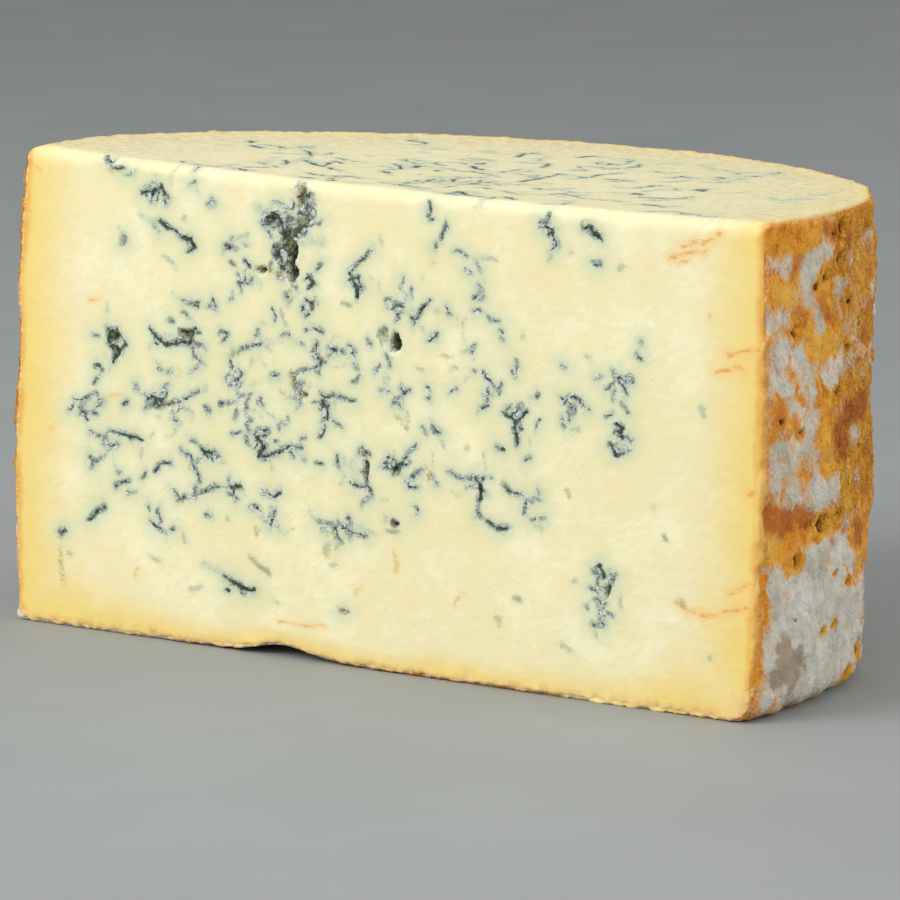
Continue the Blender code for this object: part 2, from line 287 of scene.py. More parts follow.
        ((4, 31.2), (6.4, 31.6)), ((-12, 27), (-12.6, 24.6)), ((-11, 22), (-9.4, 22.4)), ((45.6, 95.4), (44.6, 94)),
        ((75.6, 37.8), (76.4, 36.6)), ((84, 66), (85, 64.6)), ((33.6, 15.6), (35, 14.8)), ((65.8, 24), (66.2, 21.6)),
    )),
    VeinGroup(Mould.HAZE, 2.4, (
        ((-66, 94.2), (-62, 93), (-58, 91.6)), ((-46, 18.6), (-42, 17.2), (-38, 15.6)), ((-72.5, 45.8), (-66, 45)),
        ((-22, 70.8), (-20, 70.5)), ((-39, 66.6), (-31, 69.2)), ((-53, 55), (-46, 57.6)), ((-54, 31.8), (-45, 35.2)),
        ((-31, 94), (-22, 92)), ((-21, 92.3), (-14.5, 93.3)), ((-34, 84), (-32, 82)), ((-61, 67), (-54, 68.4)),
        ((34.6, 60.4), (38, 58.6)), ((-8.6, 46.4), (-6, 44), (-4.4, 42)), ((-4, 48.6), (-5.6, 46.4)),
        ((8.6, 43), (12.6, 45.6)), ((21, 46), (27.6, 44.4)), ((-14, 59.4), (-12, 55.4)), ((-32, 49), (-28.4, 46)),
        ((-62, 54.4), (-58, 56.6)), ((-46.6, 43.8), (-43.4, 42)), ((-37, 61.6), (-36, 60)), ((-6.8, 86.4), (-5.4, 83.6)),
        ((-19, 84.8), (-17.4, 83)), ((5.6, 80.4), (11.4, 80)), ((-3, 31.4), (-12, 31)), ((60.6, 27.4), (61.6, 20.6)),
        ((50.4, 64.6), (53, 64.8)), ((63.2, 70), (65.4, 66.6)), ((62, 57.6), (64.4, 56)), ((-76.4, 27), (-78, 25)),
        ((-80.6, 50), (-77, 51.4)), ((-82, 48.4), (-77.6, 48)), ((43, 101.4), (46.6, 98.8)), ((31, 36), (35, 35.2)),
        ((26.6, 86.8), (26, 84)), ((-17.4, 79.4), (-18.6, 76.2)), ((-33, 99), (-30, 96.4)), ((-72.4, 67.6), (-71.6, 61)),
        ((1.4, 75.4), (2.4, 72.6)), ((-70.6, 43.4), (-76, 44)), ((-24.6, 98.6), (-22.6, 96)), ((40.4, 42), (40.2, 39.6)),
    )),
    VeinGroup(Mould.HAZE, 1.2, (
        ((-57.4, 103), (-57, 101.6)), ((-31, 60.6), (-33.4, 60)), ((-50, 39.6), (-47.6, 37)), ((28.2, 40), (28.6, 37)),
        ((-56.4, 84.6), (-55, 83)), ((-26, 46), (-20, 48)), ((17, 99), (16.6, 96.4)), ((22, 94.2), (25, 92.6)),
        ((24.8, 74), (25.6, 71.6)), ((-16.2, 70), (-15.4, 66)), ((37.4, 57.4), (37.8, 54.4)), ((9, 49.4), (11.4, 51.6)),
        ((-42, 71), (-41, 68.6)), ((-49, 65), (-46.8, 63.2)), ((30, 67.2), (31.6, 65.6)), ((56, 64), (57, 62.4)),
        ((-70.4, 90.2), (-71.4, 86.6)), ((14.8, 76.4), (15.8, 74.6)), ((32.4, 53), (35.4, 52.6)), ((15, 57), (17.6, 54.6)),
    )),
    VeinGroup(Mould.OLIVE, 1.2, (
        ((-70.8, 88.4), (-70, 87.4)), ((-60, 100), (-58.6, 99)), ((-40.2, 86.4), (-39.4, 85.6)), ((-34, 85.2), (-32, 85.4)),
        ((-51, 69.6), (-50.4, 67.6)), ((-39, 66.2), (-37, 66.8)), ((-59, 52.4), (-54, 54)), ((-53.6, 31.6), (-51.6, 32.2)),
        ((-24.4, 80.4), (-22.6, 82)), ((-26, 76.6), (-25.4, 76.2)), ((-8.8, 80.6), (-7.6, 80.2)), ((-23, 64), (-22, 61)),
        ((-20.4, 60.4), (-18.4, 59)), ((-9, 12.2), (-6.4, 11.8)), ((34, 45.4), (36, 44.2)), ((53.4, 103), (55, 102.4)),
        ((4, 31.4), (6.2, 31.2)), ((6, 34), (5.4, 31.8)), ((17.6, 71.6), (20.4, 71)), ((20.4, 68.6), (21.2, 68.4)),
        ((-12, 29), (-8.4, 27.6)), ((-4, 48.6), (-1.4, 47.6)), ((5.4, 44), (7.2, 44.4)), ((14.2, 46.4), (14.6, 44.4)),
        ((80, 23.8), (82.4, 24.2)), ((75.4, 37.4), (76, 37)), ((50.6, 45), (51, 44.6)), ((-87.6, 20.4), (-85.4, 21.8)),
        ((-86.8, 18), (-86, 9.6)), ((-30.6, 28.2), (-31.8, 27)), ((38.4, 20), (39.4, 20.2)), ((62.8, 25.6), (61.8, 23.4)),
        ((8.2, 55), (8.6, 57.4)), ((5, 57), (6.2, 56.4)), ((-25.6, 59), (-24, 58)), ((-33.4, 21.6), (-28, 18.4)),
    )),
    VeinGroup(Mould.OCHRE, 0.9, (
        ((-21.6, 104.8), (-22.2, 103), (-22.4, 101.2)), ((-75.4, 103.4), (-73, 102.8), (-70.8, 103.4)),
        ((-31.6, 85.6), (-29, 85), (-25.6, 84.4)), ((-53.4, 61), (-53, 60.2)), ((-20.6, 60), (-19.6, 58.8), (-18.4, 59.6)),
        ((5.4, 27), (6.3, 25.4), (6.6, 24), (6, 22.6)), ((-4.6, 18.4), (-4.1, 16.8), (-3, 18)),
        ((22.4, 17.2), (23.2, 18.6), (24.6, 20)), ((-65.4, 13.9), (-64.6, 14.6), (-63.8, 15.5)),
        ((-31.5, 29.4), (-31.9, 27.2)), ((14, 46.6), (14.9, 45.4), (14.4, 44)), ((-49, 76), (-47.6, 75.6)),
        ((-11.6, 26), (-12, 23.8)), ((33.2, 16), (34.4, 14)), ((-22.8, 62.6), (-22, 63.6)), ((85, 85.6), (85.4, 86.2)),
    )),
    VeinGroup(Mould.RUST, 2.2, (
        ((76, 97.4), (80, 98.2), (84.4, 99.6)), ((79, 99.6), (84, 101.4), (88, 103.4)), ((91, 78.2), (94.6, 78.8), (99, 79.6)),
        ((88, 74), (91.4, 75), (94.4, 75.4)), ((96.6, 48.5), (99.4, 49.8)), ((93, 27.6), (96.4, 29), (100.4, 30.4)),
        ((81.4, 23.6), (86, 21.9), (90, 22.4), (94, 23.8), (97, 25)),
    )),
    VeinGroup(Mould.RUST, 1.2, (
        ((91.6, 78.3), (93.6, 78.5)), ((91, 75), (93.8, 75.4)), ((97.4, 49.4), (99, 49.8)), ((95, 28.6), (100.6, 30.2)),
        ((-96.4, 101.2), (-95, 100.8)), ((-79, 73.9), (-76, 74.4)), ((-75, 52.4), (-72, 53), (-69.6, 53.6)),
        ((-89.4, 44.3), (-88.6, 44.3)), ((-25, 7.4), (-18.6, 7.8), (-12, 8.4)), ((78, 96), (81, 96.8)),
    )),
)

FACE_CLUSTERS = (
    Cluster((-20.6, 99.0), (2.2, 5.0), 11, 0.65),
    Cluster((-29.5, 96.2), (3.6, 3.0), 12, 0.65),
    Cluster((-25.6, 91.6), (3.0, 4.0), 9, 0.6),
    Cluster((-24.0, 85.5), (2.6, 3.0), 7, 0.6),
    Cluster((-24.8, 98.0), (1.6, 1.6), 3, 0.5),
    Cluster((-62.0, 99.8), (3.0, 1.4), 6),
    Cluster((-61.0, 54.4), (2.6, 2.0), 8),
    Cluster((-51.0, 68.8), (2.6, 2.4), 8),
    Cluster((-72.0, 64.6), (1.4, 4.2), 7),
    Cluster((-78.0, 38.2), (1.8, 1.2), 4),
    Cluster((-45.0, 43.2), (2.8, 1.8), 7),
    Cluster((-30.5, 48.8), (2.8, 2.2), 9),
    Cluster((-38.3, 36.4), (1.4, 0.8), 3),
    Cluster((-12.6, 57.0), (1.8, 3.4), 8),
    Cluster((-20.5, 61.2), (2.6, 2.8), 6, 0.6),
    Cluster((-38.5, 61.8), (1.6, 3.0), 5),
    Cluster((-6.0, 84.6), (1.6, 2.6), 6),
    Cluster((5.0, 80.2), (2.0, 1.6), 5),
    Cluster((26.6, 86.0), (1.4, 2.4), 4),
    Cluster((37.0, 60.4), (2.2, 1.2), 6),
    Cluster((27.4, 44.8), (1.8, 1.6), 6),
    Cluster((6.0, 45.8), (2.0, 2.0), 6),
    Cluster((61.0, 25.6), (2.4, 3.4), 8),
    Cluster((60.6, 19.0), (2.0, 2.6), 4),
    Cluster((64.0, 58.0), (1.6, 2.8), 6),
    Cluster((64.2, 69.4), (1.6, 2.6), 5),
    Cluster((51.6, 64.2), (1.8, 1.6), 5),
    Cluster((-28.5, 31.0), (2.0, 2.0), 3, 0.5),
    Cluster((-10.5, 30.8), (3.0, 1.0), 4, 0.6),
    Cluster((44.8, 100.8), (2.2, 1.6), 4),
    Cluster((-37.0, 84.0), (2.4, 2.0), 4, 0.6),
    Cluster((-18.0, 78.0), (1.2, 3.0), 5, 0.6),
    Cluster((-36.0, 55.4), (3.0, 2.0), 5, 0.6),
    Cluster((-80.0, 49.8), (3.0, 1.8), 5, 0.6),
)

FACE_POCKETS = (
    Pocket((-24.4, 92.8), (1.2, 2.2), 1.6),
    Pocket((-23.2, 89.4), (1.3, 2.4), 3.0),
    Pocket((-22.8, 86.6), (1.1, 1.8), 3.4),
    Pocket((-23.6, 84.6), (0.7, 1.4), 2.4),
    Pocket((-25.8, 88.8), (2.2, 4.2), 1.0),
    Pocket((-23.6, 96.0), (1.6, 1.6), 1.4),
    Pocket((-20.8, 97.6), (1.8, 2.0), 1.5),
    Pocket((-18.8, 100.0), (1.5, 2.4), 1.2),
    Pocket((-21.4, 101.4), (0.7, 2.0), 1.4),
    Pocket((-20.8, 104.0), (0.6, 1.6), 1.2),
    Pocket((-28.2, 97.2), (1.6, 0.9), 0.9),
    Pocket((-30.2, 95.6), (1.1, 1.2), 0.8),
    Pocket((-31.5, 85.2), (1.2, 0.7), 2.4),
    Pocket((-71.9, 66.2), (1.0, 1.5), 2.0),
    Pocket((-71.6, 63.2), (1.0, 1.1), 2.4),
    Pocket((4.7, 73.2), (1.4, 2.0), 3.6),
    Pocket((1.8, 74.0), (1.4, 1.6), 0.9),
    Pocket((-51.5, 69.3), (1.8, 1.0), 1.8),
    Pocket((-2.1, 43.6), (0.45, 2.9), 2.2),
    Pocket((6.0, 45.6), (0.8, 0.9), 1.4),
    Pocket((5.8, 33.3), (0.7, 0.9), 2.0),
    Pocket((62.4, 24.4), (0.4, 1.4), 1.8),
    Pocket((-21.6, 60.6), (0.6, 1.0), 1.0),
    Pocket((-19.0, 59.2), (0.7, 0.6), 1.0),
    Pocket((28.6, 42.6), (0.5, 1.5), 0.9),
    Pocket((-64.0, 100.2), (0.9, 0.5), 0.8),
    Pocket((-7.4, 12.0), (1.1, 0.35), 0.8),
)

TOP_VEINS = (
    VeinGroup(Mould.DARK, 1.5, (
        ((-73, 37), (-74, 40)), ((-69, 33), (-65, 31)), ((-44, 0), (-42, 2), (-41, 3)),
        ((-44, 21), (-38, 16), (-34, 14)), ((-39, 24), (-37, 23), (-35, 22)), ((-20, 18), (-17, 16)),
        ((-17, -5), (-16, -5)), ((-16, 46), (-14, 45), (-15, 48)), ((-13, 41), (-10, 38), (-8, 37)),
        ((-17, 63), (-20, 69), (-19, 73)), ((-7, 72), (-6, 76), (-5, 77)), ((6, 59), (8, 59), (9, 59)),
        ((13, 23), (12, 30), (11, 38)), ((23, 42), (26, 43), (29, 43)), ((-21, 31), (-19, 28), (-20, 32)),
        ((38, 33), (38, 39), (40, 39)), ((50, 17), (54, 18), (58, 20)), ((58, 6), (62, 5), (64, 5)),
        ((81, -5), (83, -5)), ((76, -5), (76, -5)), ((41, 68), (43, 70), (44, 72)), ((-1, -1), (4, -2), (7, -1)),
        ((15, -5), (17, -5), (19, -5)), ((24, 15), (26, 15), (27, 16)), ((45, 20), (44, 23), (47, 21)),
        ((31, 54), (32, 55), (32, 58)), ((32, 10), (33, 12)), ((-53, 70), (-48, 69), (-46, 68)),
        ((38, 63), (41, 62), (42, 61)), ((51, 36), (50, 39), (53, 36)), ((-42, -4), (-40, -4)),
        ((-63, 36), (-62, 35)), ((15, -3), (15, -1), (17, -3)),
    )),
    VeinGroup(Mould.DARK, 0.8, (
        ((-69, 36), (-65, 37), (-62, 35)), ((-56, 35), (-53, 33), (-48, 28)), ((-47, 17), (-43, 13), (-41, 10)),
        ((-41, 6), (-39, 5)), ((-49, -5), (-47, -3), (-46, -2)), ((-44, -5), (-44, -3), (-41, -5)),
        ((-60, -3), (-58, -4)), ((-55, -5), (-53, -5), (-50, -5)), ((-42, 30), (-38, 27)),
        ((-34, 14), (-37, 20), (-39, 24)), ((-32, 14), (-29, 11), (-26, 11)), ((-29, 2), (-23, 0), (-20, 4)),
        ((-20, 4), (-15, 3), (-12, 4)), ((-20, -2), (-18, -3)), ((-25, -5), (-23, -5), (-21, -5)),
        ((-6, 2), (-3, 3), (-4, 9)), ((-27, 31), (-22, 27), (-20, 24)), ((-27, 37), (-25, 36), (-23, 36)),
        ((-20, 42), (-18, 44), (-16, 43)), ((-8, 31), (-7, 33), (1, 29)), ((2, 25), (4, 27)),
        ((-6, 34), (-1, 36), (-2, 44)), ((8, 49), (8, 52), (10, 51)), ((7, 63), (5, 67), (7, 66)),
        ((11, 58), (12, 59), (13, 60)), ((11, 38), (10, 43), (12, 42)), ((17, 36), (18, 40), (17, 47), (18, 54)),
        ((-1, 7), (-3, 13), (-3, 14)), ((3, 12), (0, 17), (0, 20)), ((3, 12), (5, 14), (5, 17)),
        ((4, 7), (8, 11), (9, 21)), ((8, 12), (10, 12), (13, 12)), ((14, 7), (15, 8), (17, 7)),
        ((17, -3), (23, -5), (25, -5)), ((19, -5), (23, -5), (25, -5)), ((21, 6), (25, 5), (26, 6)),
        ((28, -2), (31, -4), (33, -5)), ((32, 8), (32, 10)), ((33, 12), (40, 8), (44, 8)),
        ((44, 8), (47, 8), (48, 9)), ((33, 14), (34, 15)), ((49, 8), (51, 7), (52, 8)),
        ((0, 49), (-2, 53), (-4, 57)), ((13, 64), (13, 67), (10, 73)), ((22, 62), (26, 61), (26, 64)),
        ((42, 61), (43, 62), (45, 64)), ((40, 67), (41, 68)), ((42, 52), (45, 53), (46, 56)),
        ((43, 28), (44, 32), (45, 33)), ((36, 46), (38, 50), (38, 53)), ((66, -5), (69, -2), (72, -2), (79, -4)),
        ((83, -5), (83, -5)), ((67, -5), (68, -5)), ((74, 32), (77, 35), (79, 38)), ((51, 7), (52, 8)),
    )),
    VeinGroup(Mould.HAZE, 2.6, (
        ((-73, 28), (-72, 29)), ((-56, 38), (-59, 41), (-61, 45)), ((-48, 28), (-45, 20), (-43, 16)),
        ((-51, 17), (-51, 19)), ((-44, 6), (-47, 11), (-49, 15)), ((-41, 39), (-39, 38)), ((-38, 42), (-36, 43)),
        ((-12, -5), (-10, -5), (-8, -4)), ((10, 17), (13, 17), (13, 20)), ((18, 26), (20, 25)),
        ((-18, 69), (-16, 70), (-15, 71)), ((13, 75), (15, 78), (15, 81)), ((20, 81), (24, 79), (27, 76)),
        ((44, 57), (45, 58), (45, 61)), ((59, 35), (61, 39), (61, 42)), ((71, 34), (77, 30), (79, 38)),
        ((79, 27), (81, 29)), ((75, 44), (77, 46), (75, 53)), ((64, 5), (65, 8)), ((55, 3), (56, 4)),
        ((-26, 32), (-23, 30), (-19, 28)), ((17, 0), (21, -2)), ((19, 18), (21, 20)), ((-37, 53), (-34, 53)),
        ((-28, 64), (-29, 68), (-24, 64)),
    )),
    VeinGroup(Mould.OCHRE, 3.0, (
        ((28, 3), (29, 6), (31, 7)),
    )),
)


RIND_MARKS = (
    VeinGroup(Mould.BLOOM, 12.0, (
        ((7, 27), (20, 22), (50, 14)), ((5, 19), (24, 12), (54, 6)), ((8, 9), (30, 6)), ((12, 31), (24, 31.5)),
    )),
    VeinGroup(Mould.BLOOM, 7.0, (
        ((12, 47.5), (22, 47.2)), ((-2, 9), (0, 15)), ((3, 8), (5, 13)), ((-1, 27), (1, 21)), ((30, 30), (31, 24)),
    )),
    VeinGroup(Mould.BLOOM, 5.0, (
        ((4.4, 95), (7, 97)), ((6.4, 93.5), (8, 98)), ((13, 71.5), (19, 74.5)), ((17, 70.5), (20, 73)),
        ((28.5, 56.6), (34, 56)), ((0, 25), (6, 28)), ((2, 4), (46, 2.4)), ((20, 35), (25, 34)),
        ((44, 21), (52, 20)), ((45, 71.4), (52, 72)), ((-2, 26), (0, 22)), ((-3, 31), (-3, 20), (-4, 4)),
    )),
    VeinGroup(Mould.BLOOM, 3.0, (
        ((-6.5, 98), (-3, 97), (-2, 95)), ((-7.6, 85), (-3, 86.5), (1, 88.5), (6, 89)), ((12, 100.6), (16, 101)), ((14, 98.5), (19, 98)),
        ((21, 90.5), (25, 91.5)), ((27, 95), (28, 91.5)), ((19, 77.4), (22, 75)), ((20, 64), (22.5, 65)), ((-4, 58), (0, 57.5), (5, 57.5)),
        ((-5, 54), (1, 54.4)), ((-5, 78), (-2, 79.5), (3, 79)), ((2, 76), (5, 73)), ((-6, 74), (-3, 71)), ((5, 71), (7, 68)),
        ((7.5, 65), (8.5, 62)), ((1.5, 48.6), (2.5, 44)), ((30, 76), (36, 74.5)), ((36, 69.5), (43, 70)), ((31, 101), (34, 100.5)),
        ((24, 79.5), (28, 80)), ((25, 75.5), (27, 72)), ((29, 38.8), (32, 39)), ((36, 47.5), (41, 47)), ((44, 39), (52, 38.4)),
        ((36, 85), (40, 85)), ((41, 98), (47, 97)), ((30, 19), (31.6, 18)), ((46, 86), (52, 88)), ((50, 60), (54, 62)),
    )),
    VeinGroup(Mould.BLOOM, 1.5, (
        ((7.5, 88), (9.5, 85), (12, 81.4)), ((20.5, 89), (21, 84)), ((22, 81), (23, 77)), ((-1, 92.4), (2, 90)), ((4, 61), (6, 58)),
        ((-6, 66), (-4, 62)), ((0, 66), (3, 64)), ((12, 43.5), (13, 45)), ((8, 43.6), (7, 47)), ((-3, 49), (-1, 44)),
        ((16, 103), (16.4, 99)), ((28, 101), (30, 99)), ((33, 92), (36, 90)), ((-4, 33), (-2, 31)), ((9, 55), (9.6, 51)),
        ((24, 62), (30, 61)), ((33, 66), (38, 64)), ((-6.6, 20), (-5.4, 14)), ((-5.6, 48), (-5, 54)), ((30, 85), (31, 89)),
    )),
    VeinGroup(Mould.BARE, 14.0, (((45, 58), (46, 44)),)),
    VeinGroup(Mould.BARE, 6.5, (
        ((33, 97), (37, 91)), ((12.4, 61), (16, 53)), ((19.5, 58), (26, 54.6)), ((32, 34), (40, 32)), ((27, 51), (28.4, 43)),
        ((46, 80), (56, 78)), ((36, 80), (42, 78)),
    )),
    VeinGroup(Mould.BARE, 4.4, (
        ((5, 84.4), (8, 79.4), (13, 78), (18, 79)), ((14, 91), (16.4, 84)), ((25, 62), (42, 63)), ((34, 29), (41, 28)),
        ((-5.6, 44), (1, 41.6), (9, 41)), ((-6, 37), (-2, 35)), ((11, 39.2), (17, 38.8)), ((-6, 92.4), (-2, 91), (0, 90)), ((50, 30), (54, 34)),
    )),
    VeinGroup(Mould.BARE, 2.6, (
        ((-8, 102), (20, 102.6), (40, 101)), ((-6, 100.4), (4, 100.6)), ((2.4, 33), (6, 33.4)), ((31, 14.6), (38, 14.6)), ((32, 17.2), (34, 17)),
        ((40, 6.6), (45, 5)), ((33, 3.4), (39, 3.2)), ((-7.4, 29), (-6, 24), (-6.4, 21)), ((2, 86), (5.4, 86)), ((0, 96), (2, 94.6)),
        ((11, 93), (19, 95)), ((21, 98), (24, 93)), ((9, 67), (14, 66.4)), ((17, 68), (21, 67)), ((-5.6, 67), (-4.6, 63)), ((46, 14), (52, 14)),
    )),
    VeinGroup(Mould.BARE, 1.4, (
        ((-5.6, 48), (-5.6, 40)), ((-8.4, 19), (-8, 11)), ((-6.4, 9), (-5.8, 7.4)), ((16, 16.3), (19, 16.4)), ((21, 16.6), (24.5, 17.6)),
        ((16.5, 31.6), (18.6, 30)), ((22, 30.4), (22.4, 27.8)), ((2, 26.8), (3, 26.6)), ((29, 25), (33.6, 24.4)), ((37, 22.6), (39, 22)),
        ((18, 35), (19.6, 34.4)), ((26, 28), (27, 27.4)), ((22, 76), (23.4, 79)), ((31.4, 19.4), (32.6, 19.2)),
    )),
    VeinGroup(Mould.TAWNY, 4.6, (
        ((-6, 92.4), (-3, 91.4), (0, 90)), ((8, 79.2), (13, 78), (18, 79)), ((5, 84), (7, 81)), ((13, 60), (15.6, 53)), ((28, 50), (28.4, 43)),
        ((11, 39.2), (17, 38.8)), ((34, 29), (41, 28)), ((34, 96), (38, 91)), ((-4, 37), (-3, 35)),
    )),
    VeinGroup(Mould.TAWNY, 2.4, (
        ((3, 32.4), (6, 34.6)), ((31, 14.6), (38, 14.6)), ((40, 6.6), (45, 5)), ((33, 3.4), (39, 3.2)), ((-6.5, 9), (-6, 7.4)), ((16, 16.3), (19, 16.4)),
        ((21, 16.6), (24.5, 17.6)), ((16.5, 31.6), (18.6, 30)), ((29, 25), (33.6, 24.4)), ((2, 26.8), (3, 26.6)), ((14.4, 66), (15, 70)),
        ((-3, 82.6), (3, 80.4)), ((7.6, 93.4), (10.4, 91)), ((20.4, 69), (21.6, 66.6)), ((23, 79), (24, 76)), ((22, 30), (22.4, 28)),
        ((0, 51), (2, 53)), ((4, 60), (3.6, 62.6)), ((22, 42), (25, 39.6)), ((30, 82), (32, 79.6)), ((38, 88), (42, 87)),
    )),
    VeinGroup(Mould.UMBER, 5.0, (
        ((20, 58), (26, 55)), ((25, 62.4), (42, 63)), ((34, 35), (40, 33)), ((4, 42.6), (9, 42)), ((-5.6, 43.6), (0, 42)),
    )),
    VeinGroup(Mould.UMBER, 2.4, (
        ((-5.4, 67), (-4.6, 64)), ((0, 96), (2, 97)), ((11.4, 88), (15, 84)), ((13, 103), (19, 102)), ((25, 97), (27, 100)),
        ((17.6, 35), (19.4, 34.4)), ((-2, 17.4), (-1.4, 18)), ((31, 28), (33, 27.4)), ((-6, 55), (-5.4, 52)),
        ((2, 86), (3.6, 85.6)), ((3, 78.4), (3.6, 77.6)), ((44, 52), (50, 50)), ((36, 78), (40, 76)),
    )),
    VeinGroup(Mould.TAUPE, 6.0, (((-1, 9), (0.6, 15)), ((3, 8), (5, 12)))),
)


class MarkSheet:
    """A fine grid over one face, on which veins, stains and holes are drawn and then read back.

    Distances and depths are in millimetres, and stains run from 0 to 1.
    """

    STEP = 0.22
    REACH = 9.0
    SOFT_SPREAD = {Mould.HAZE: 0.55, Mould.OLIVE: 0.8, Mould.OCHRE: 0.8, Mould.RUST: 0.75}
    PATCH_SPREAD = 1.5
    SOFT_MOST = {Mould.HAZE: 0.75, Mould.OLIVE: 1.0, Mould.OCHRE: 1.0, Mould.RUST: 1.0}
    INK_FADE = 0.3
    BOLD_WIDTH = 1.3
    CLOSE_GAP = (0.4, 8.0)
    POCKET_RIM = 0.95

    def __init__(self, low: tuple[float, float], high: tuple[float, float], seed: int, bold: float = 1.0) -> None:
        """An empty sheet.

        Args:
            low: its lowest corner.
            high: its highest corner.
            seed: picks how its strokes wander.
            bold: how much broader than usual its dark lines are.
        """
        self.bold = bold
        self.low = np.array(low)
        self.counts = np.ceil((np.array(high) - self.low) / self.STEP).astype(int) + 1
        across, up = np.meshgrid(*[np.arange(count) for count in self.counts], indexing="ij")
        places = np.stack([across, up], axis=-1) * self.STEP + self.low
        flat = places.reshape(-1, 2)
        wander = [
            0.60 * ValueNoise(2.6, seed + turn).at(flat) + 0.15 * ValueNoise(0.9, seed + 5 + turn).at(flat)
            for turn in (0, 1)
        ]
        self.places = places + np.stack(wander, axis=-1).reshape(places.shape)
        self.swelling = 0.5 + 0.5 * ValueNoise(1.5, seed + 11, 2).at(flat).reshape(across.shape)
        self.random = np.random.default_rng(seed)
        self.layers = {name: np.full(across.shape, self.REACH) for name in DISTANCE_LAYERS}
        self.layers.update({kind.value: np.zeros(across.shape) for kind in Mould if kind.value not in DISTANCE_LAYERS})
        self.layers["hollow"] = np.zeros(across.shape)

    def _window(self, points: Array, margin: float) -> tuple[slice, slice]:
        """The part of the grid within a margin of some points."""
        first = np.floor((points.min(0) - margin - self.low) / self.STEP).astype(int)
        last = np.ceil((points.max(0) + margin - self.low) / self.STEP).astype(int) + 1
        first = np.clip(first, 0, self.counts)
        last = np.clip(last, 0, self.counts)
        return slice(first[0], last[0]), slice(first[1], last[1])

    def _stroke_distance(self, window: tuple[slice, slice], start: Array, end: Array,
                         radii: Array) -> tuple[Array, Array]:
        """How far each place of a window is from one tapered piece of a stroke.

        Args:
            window: the part of the grid to work on.
            start: where the piece starts.
            end: where it ends.
            radii: its half widths at the start and at the end.

        Returns:
            The distance to its middle line, and the distance to its edge, negative inside.
        """
        places = self.places[window]
        along = end - start
        share = np.clip(((places - start) @ along) / max(float(along @ along), 1e-9), 0.0, 1.0)
        line = np.linalg.norm(places - (start + share[..., None] * along), axis=-1)
        radius = radii[0] + share * (radii[1] - radii[0])
        return line, line - radius * (0.35 + 1.1 * self.swelling[window])

    def draw_path(self, kind: Mould, width: float, path: Sequence[Sequence[float]]) -> None:
        """Draws one stroke, widest in its middle.

        Args:
            kind: what the stroke is made of.
            width: its greatest width.
            path: its corners.
        """
        corners = np.array(path, float)
        share = (np.arange(len(corners)) + 0.5) / len(corners)
        solid = 0.0 if kind in self.SOFT_SPREAD else 0.5
        radii = solid * width * (0.45 + 0.55 * np.sin(np.pi * share))
        for index in range(len(corners) - 1):
            window = self._window(corners[index:index + 2], self.REACH)
            line, edge = self._stroke_distance(window, corners[index], corners[index + 1], radii[index:index + 2])
            self._lay(kind, width, window, line, edge)

    def _lay(self, kind: Mould, width: float, window: tuple[slice, slice], line: Array, edge: Array) -> None:
        """Adds one piece of a stroke to the layers that its kind shows in."""
        outside = np.maximum(edge, 0.0)
        if kind is Mould.DARK:
            self._keep_least("core", window, edge)
            self._keep_least("ink", window, (line + self.INK_FADE * max(0.0, self.BOLD_WIDTH - width)) / self.bold)
            self._keep_most("haze", window, 0.75 * np.exp(-((outside / 1.2) ** 1.3)))
        elif kind is Mould.PALE:
            self._keep_least("pale", window, edge)
            self._keep_most("haze", window, 0.35 * np.exp(-((outside / 1.2) ** 1.5)))
        else:
            spread = self.SOFT_SPREAD[kind] * width if kind in self.SOFT_SPREAD else self.PATCH_SPREAD
            most = self.SOFT_MOST.get(kind, min(1.4, 0.55 + 0.08 * width))
            self._keep_most(kind.value, window, most * np.exp(-((outside / spread) ** 2)))

    def _keep_least(self, layer: str, window: tuple[slice, slice], value: Array) -> None:
        """Lowers a layer to a value where that is lower."""
        self.layers[layer][window] = np.minimum(self.layers[layer][window], value)

    def _keep_most(self, layer: str, window: tuple[slice, slice], value: Array) -> None:
        """Raises a layer to a value where that is higher."""
        self.layers[layer][window] = np.maximum(self.layers[layer][window], value)

    def draw_groups(self, groups: Sequence[VeinGroup]) -> None:
        """Draws every stroke of some groups."""
        for group in groups:
            for path in group.paths:
                self.draw_path(group.kind, group.width, path)

    def draw_cluster(self, cluster: Cluster) -> None:
        """Draws a tangle: each stroke wanders over two or three short legs."""
        for _ in range(cluster.strokes):
            place = np.array(cluster.centre) + self.random.normal(0.0, 0.55, 2) * np.array(cluster.reach)
            heading = self.random.uniform(0.0, 2.0 * math.pi)
            path = [place]
            for _ in range(self.random.integers(2, 4)):
                heading += self.random.normal(0.0, 0.9)
                leg = self.random.uniform(0.7, 1.7)
                place = place + leg * np.array([math.cos(heading), math.sin(heading)])
                path.append(place)
            kind = Mould.DARK if self.random.random() < 0.72 else Mould.HAZE
            self.draw_path(kind, cluster.width * self.random.uniform(0.6, 1.25), path)

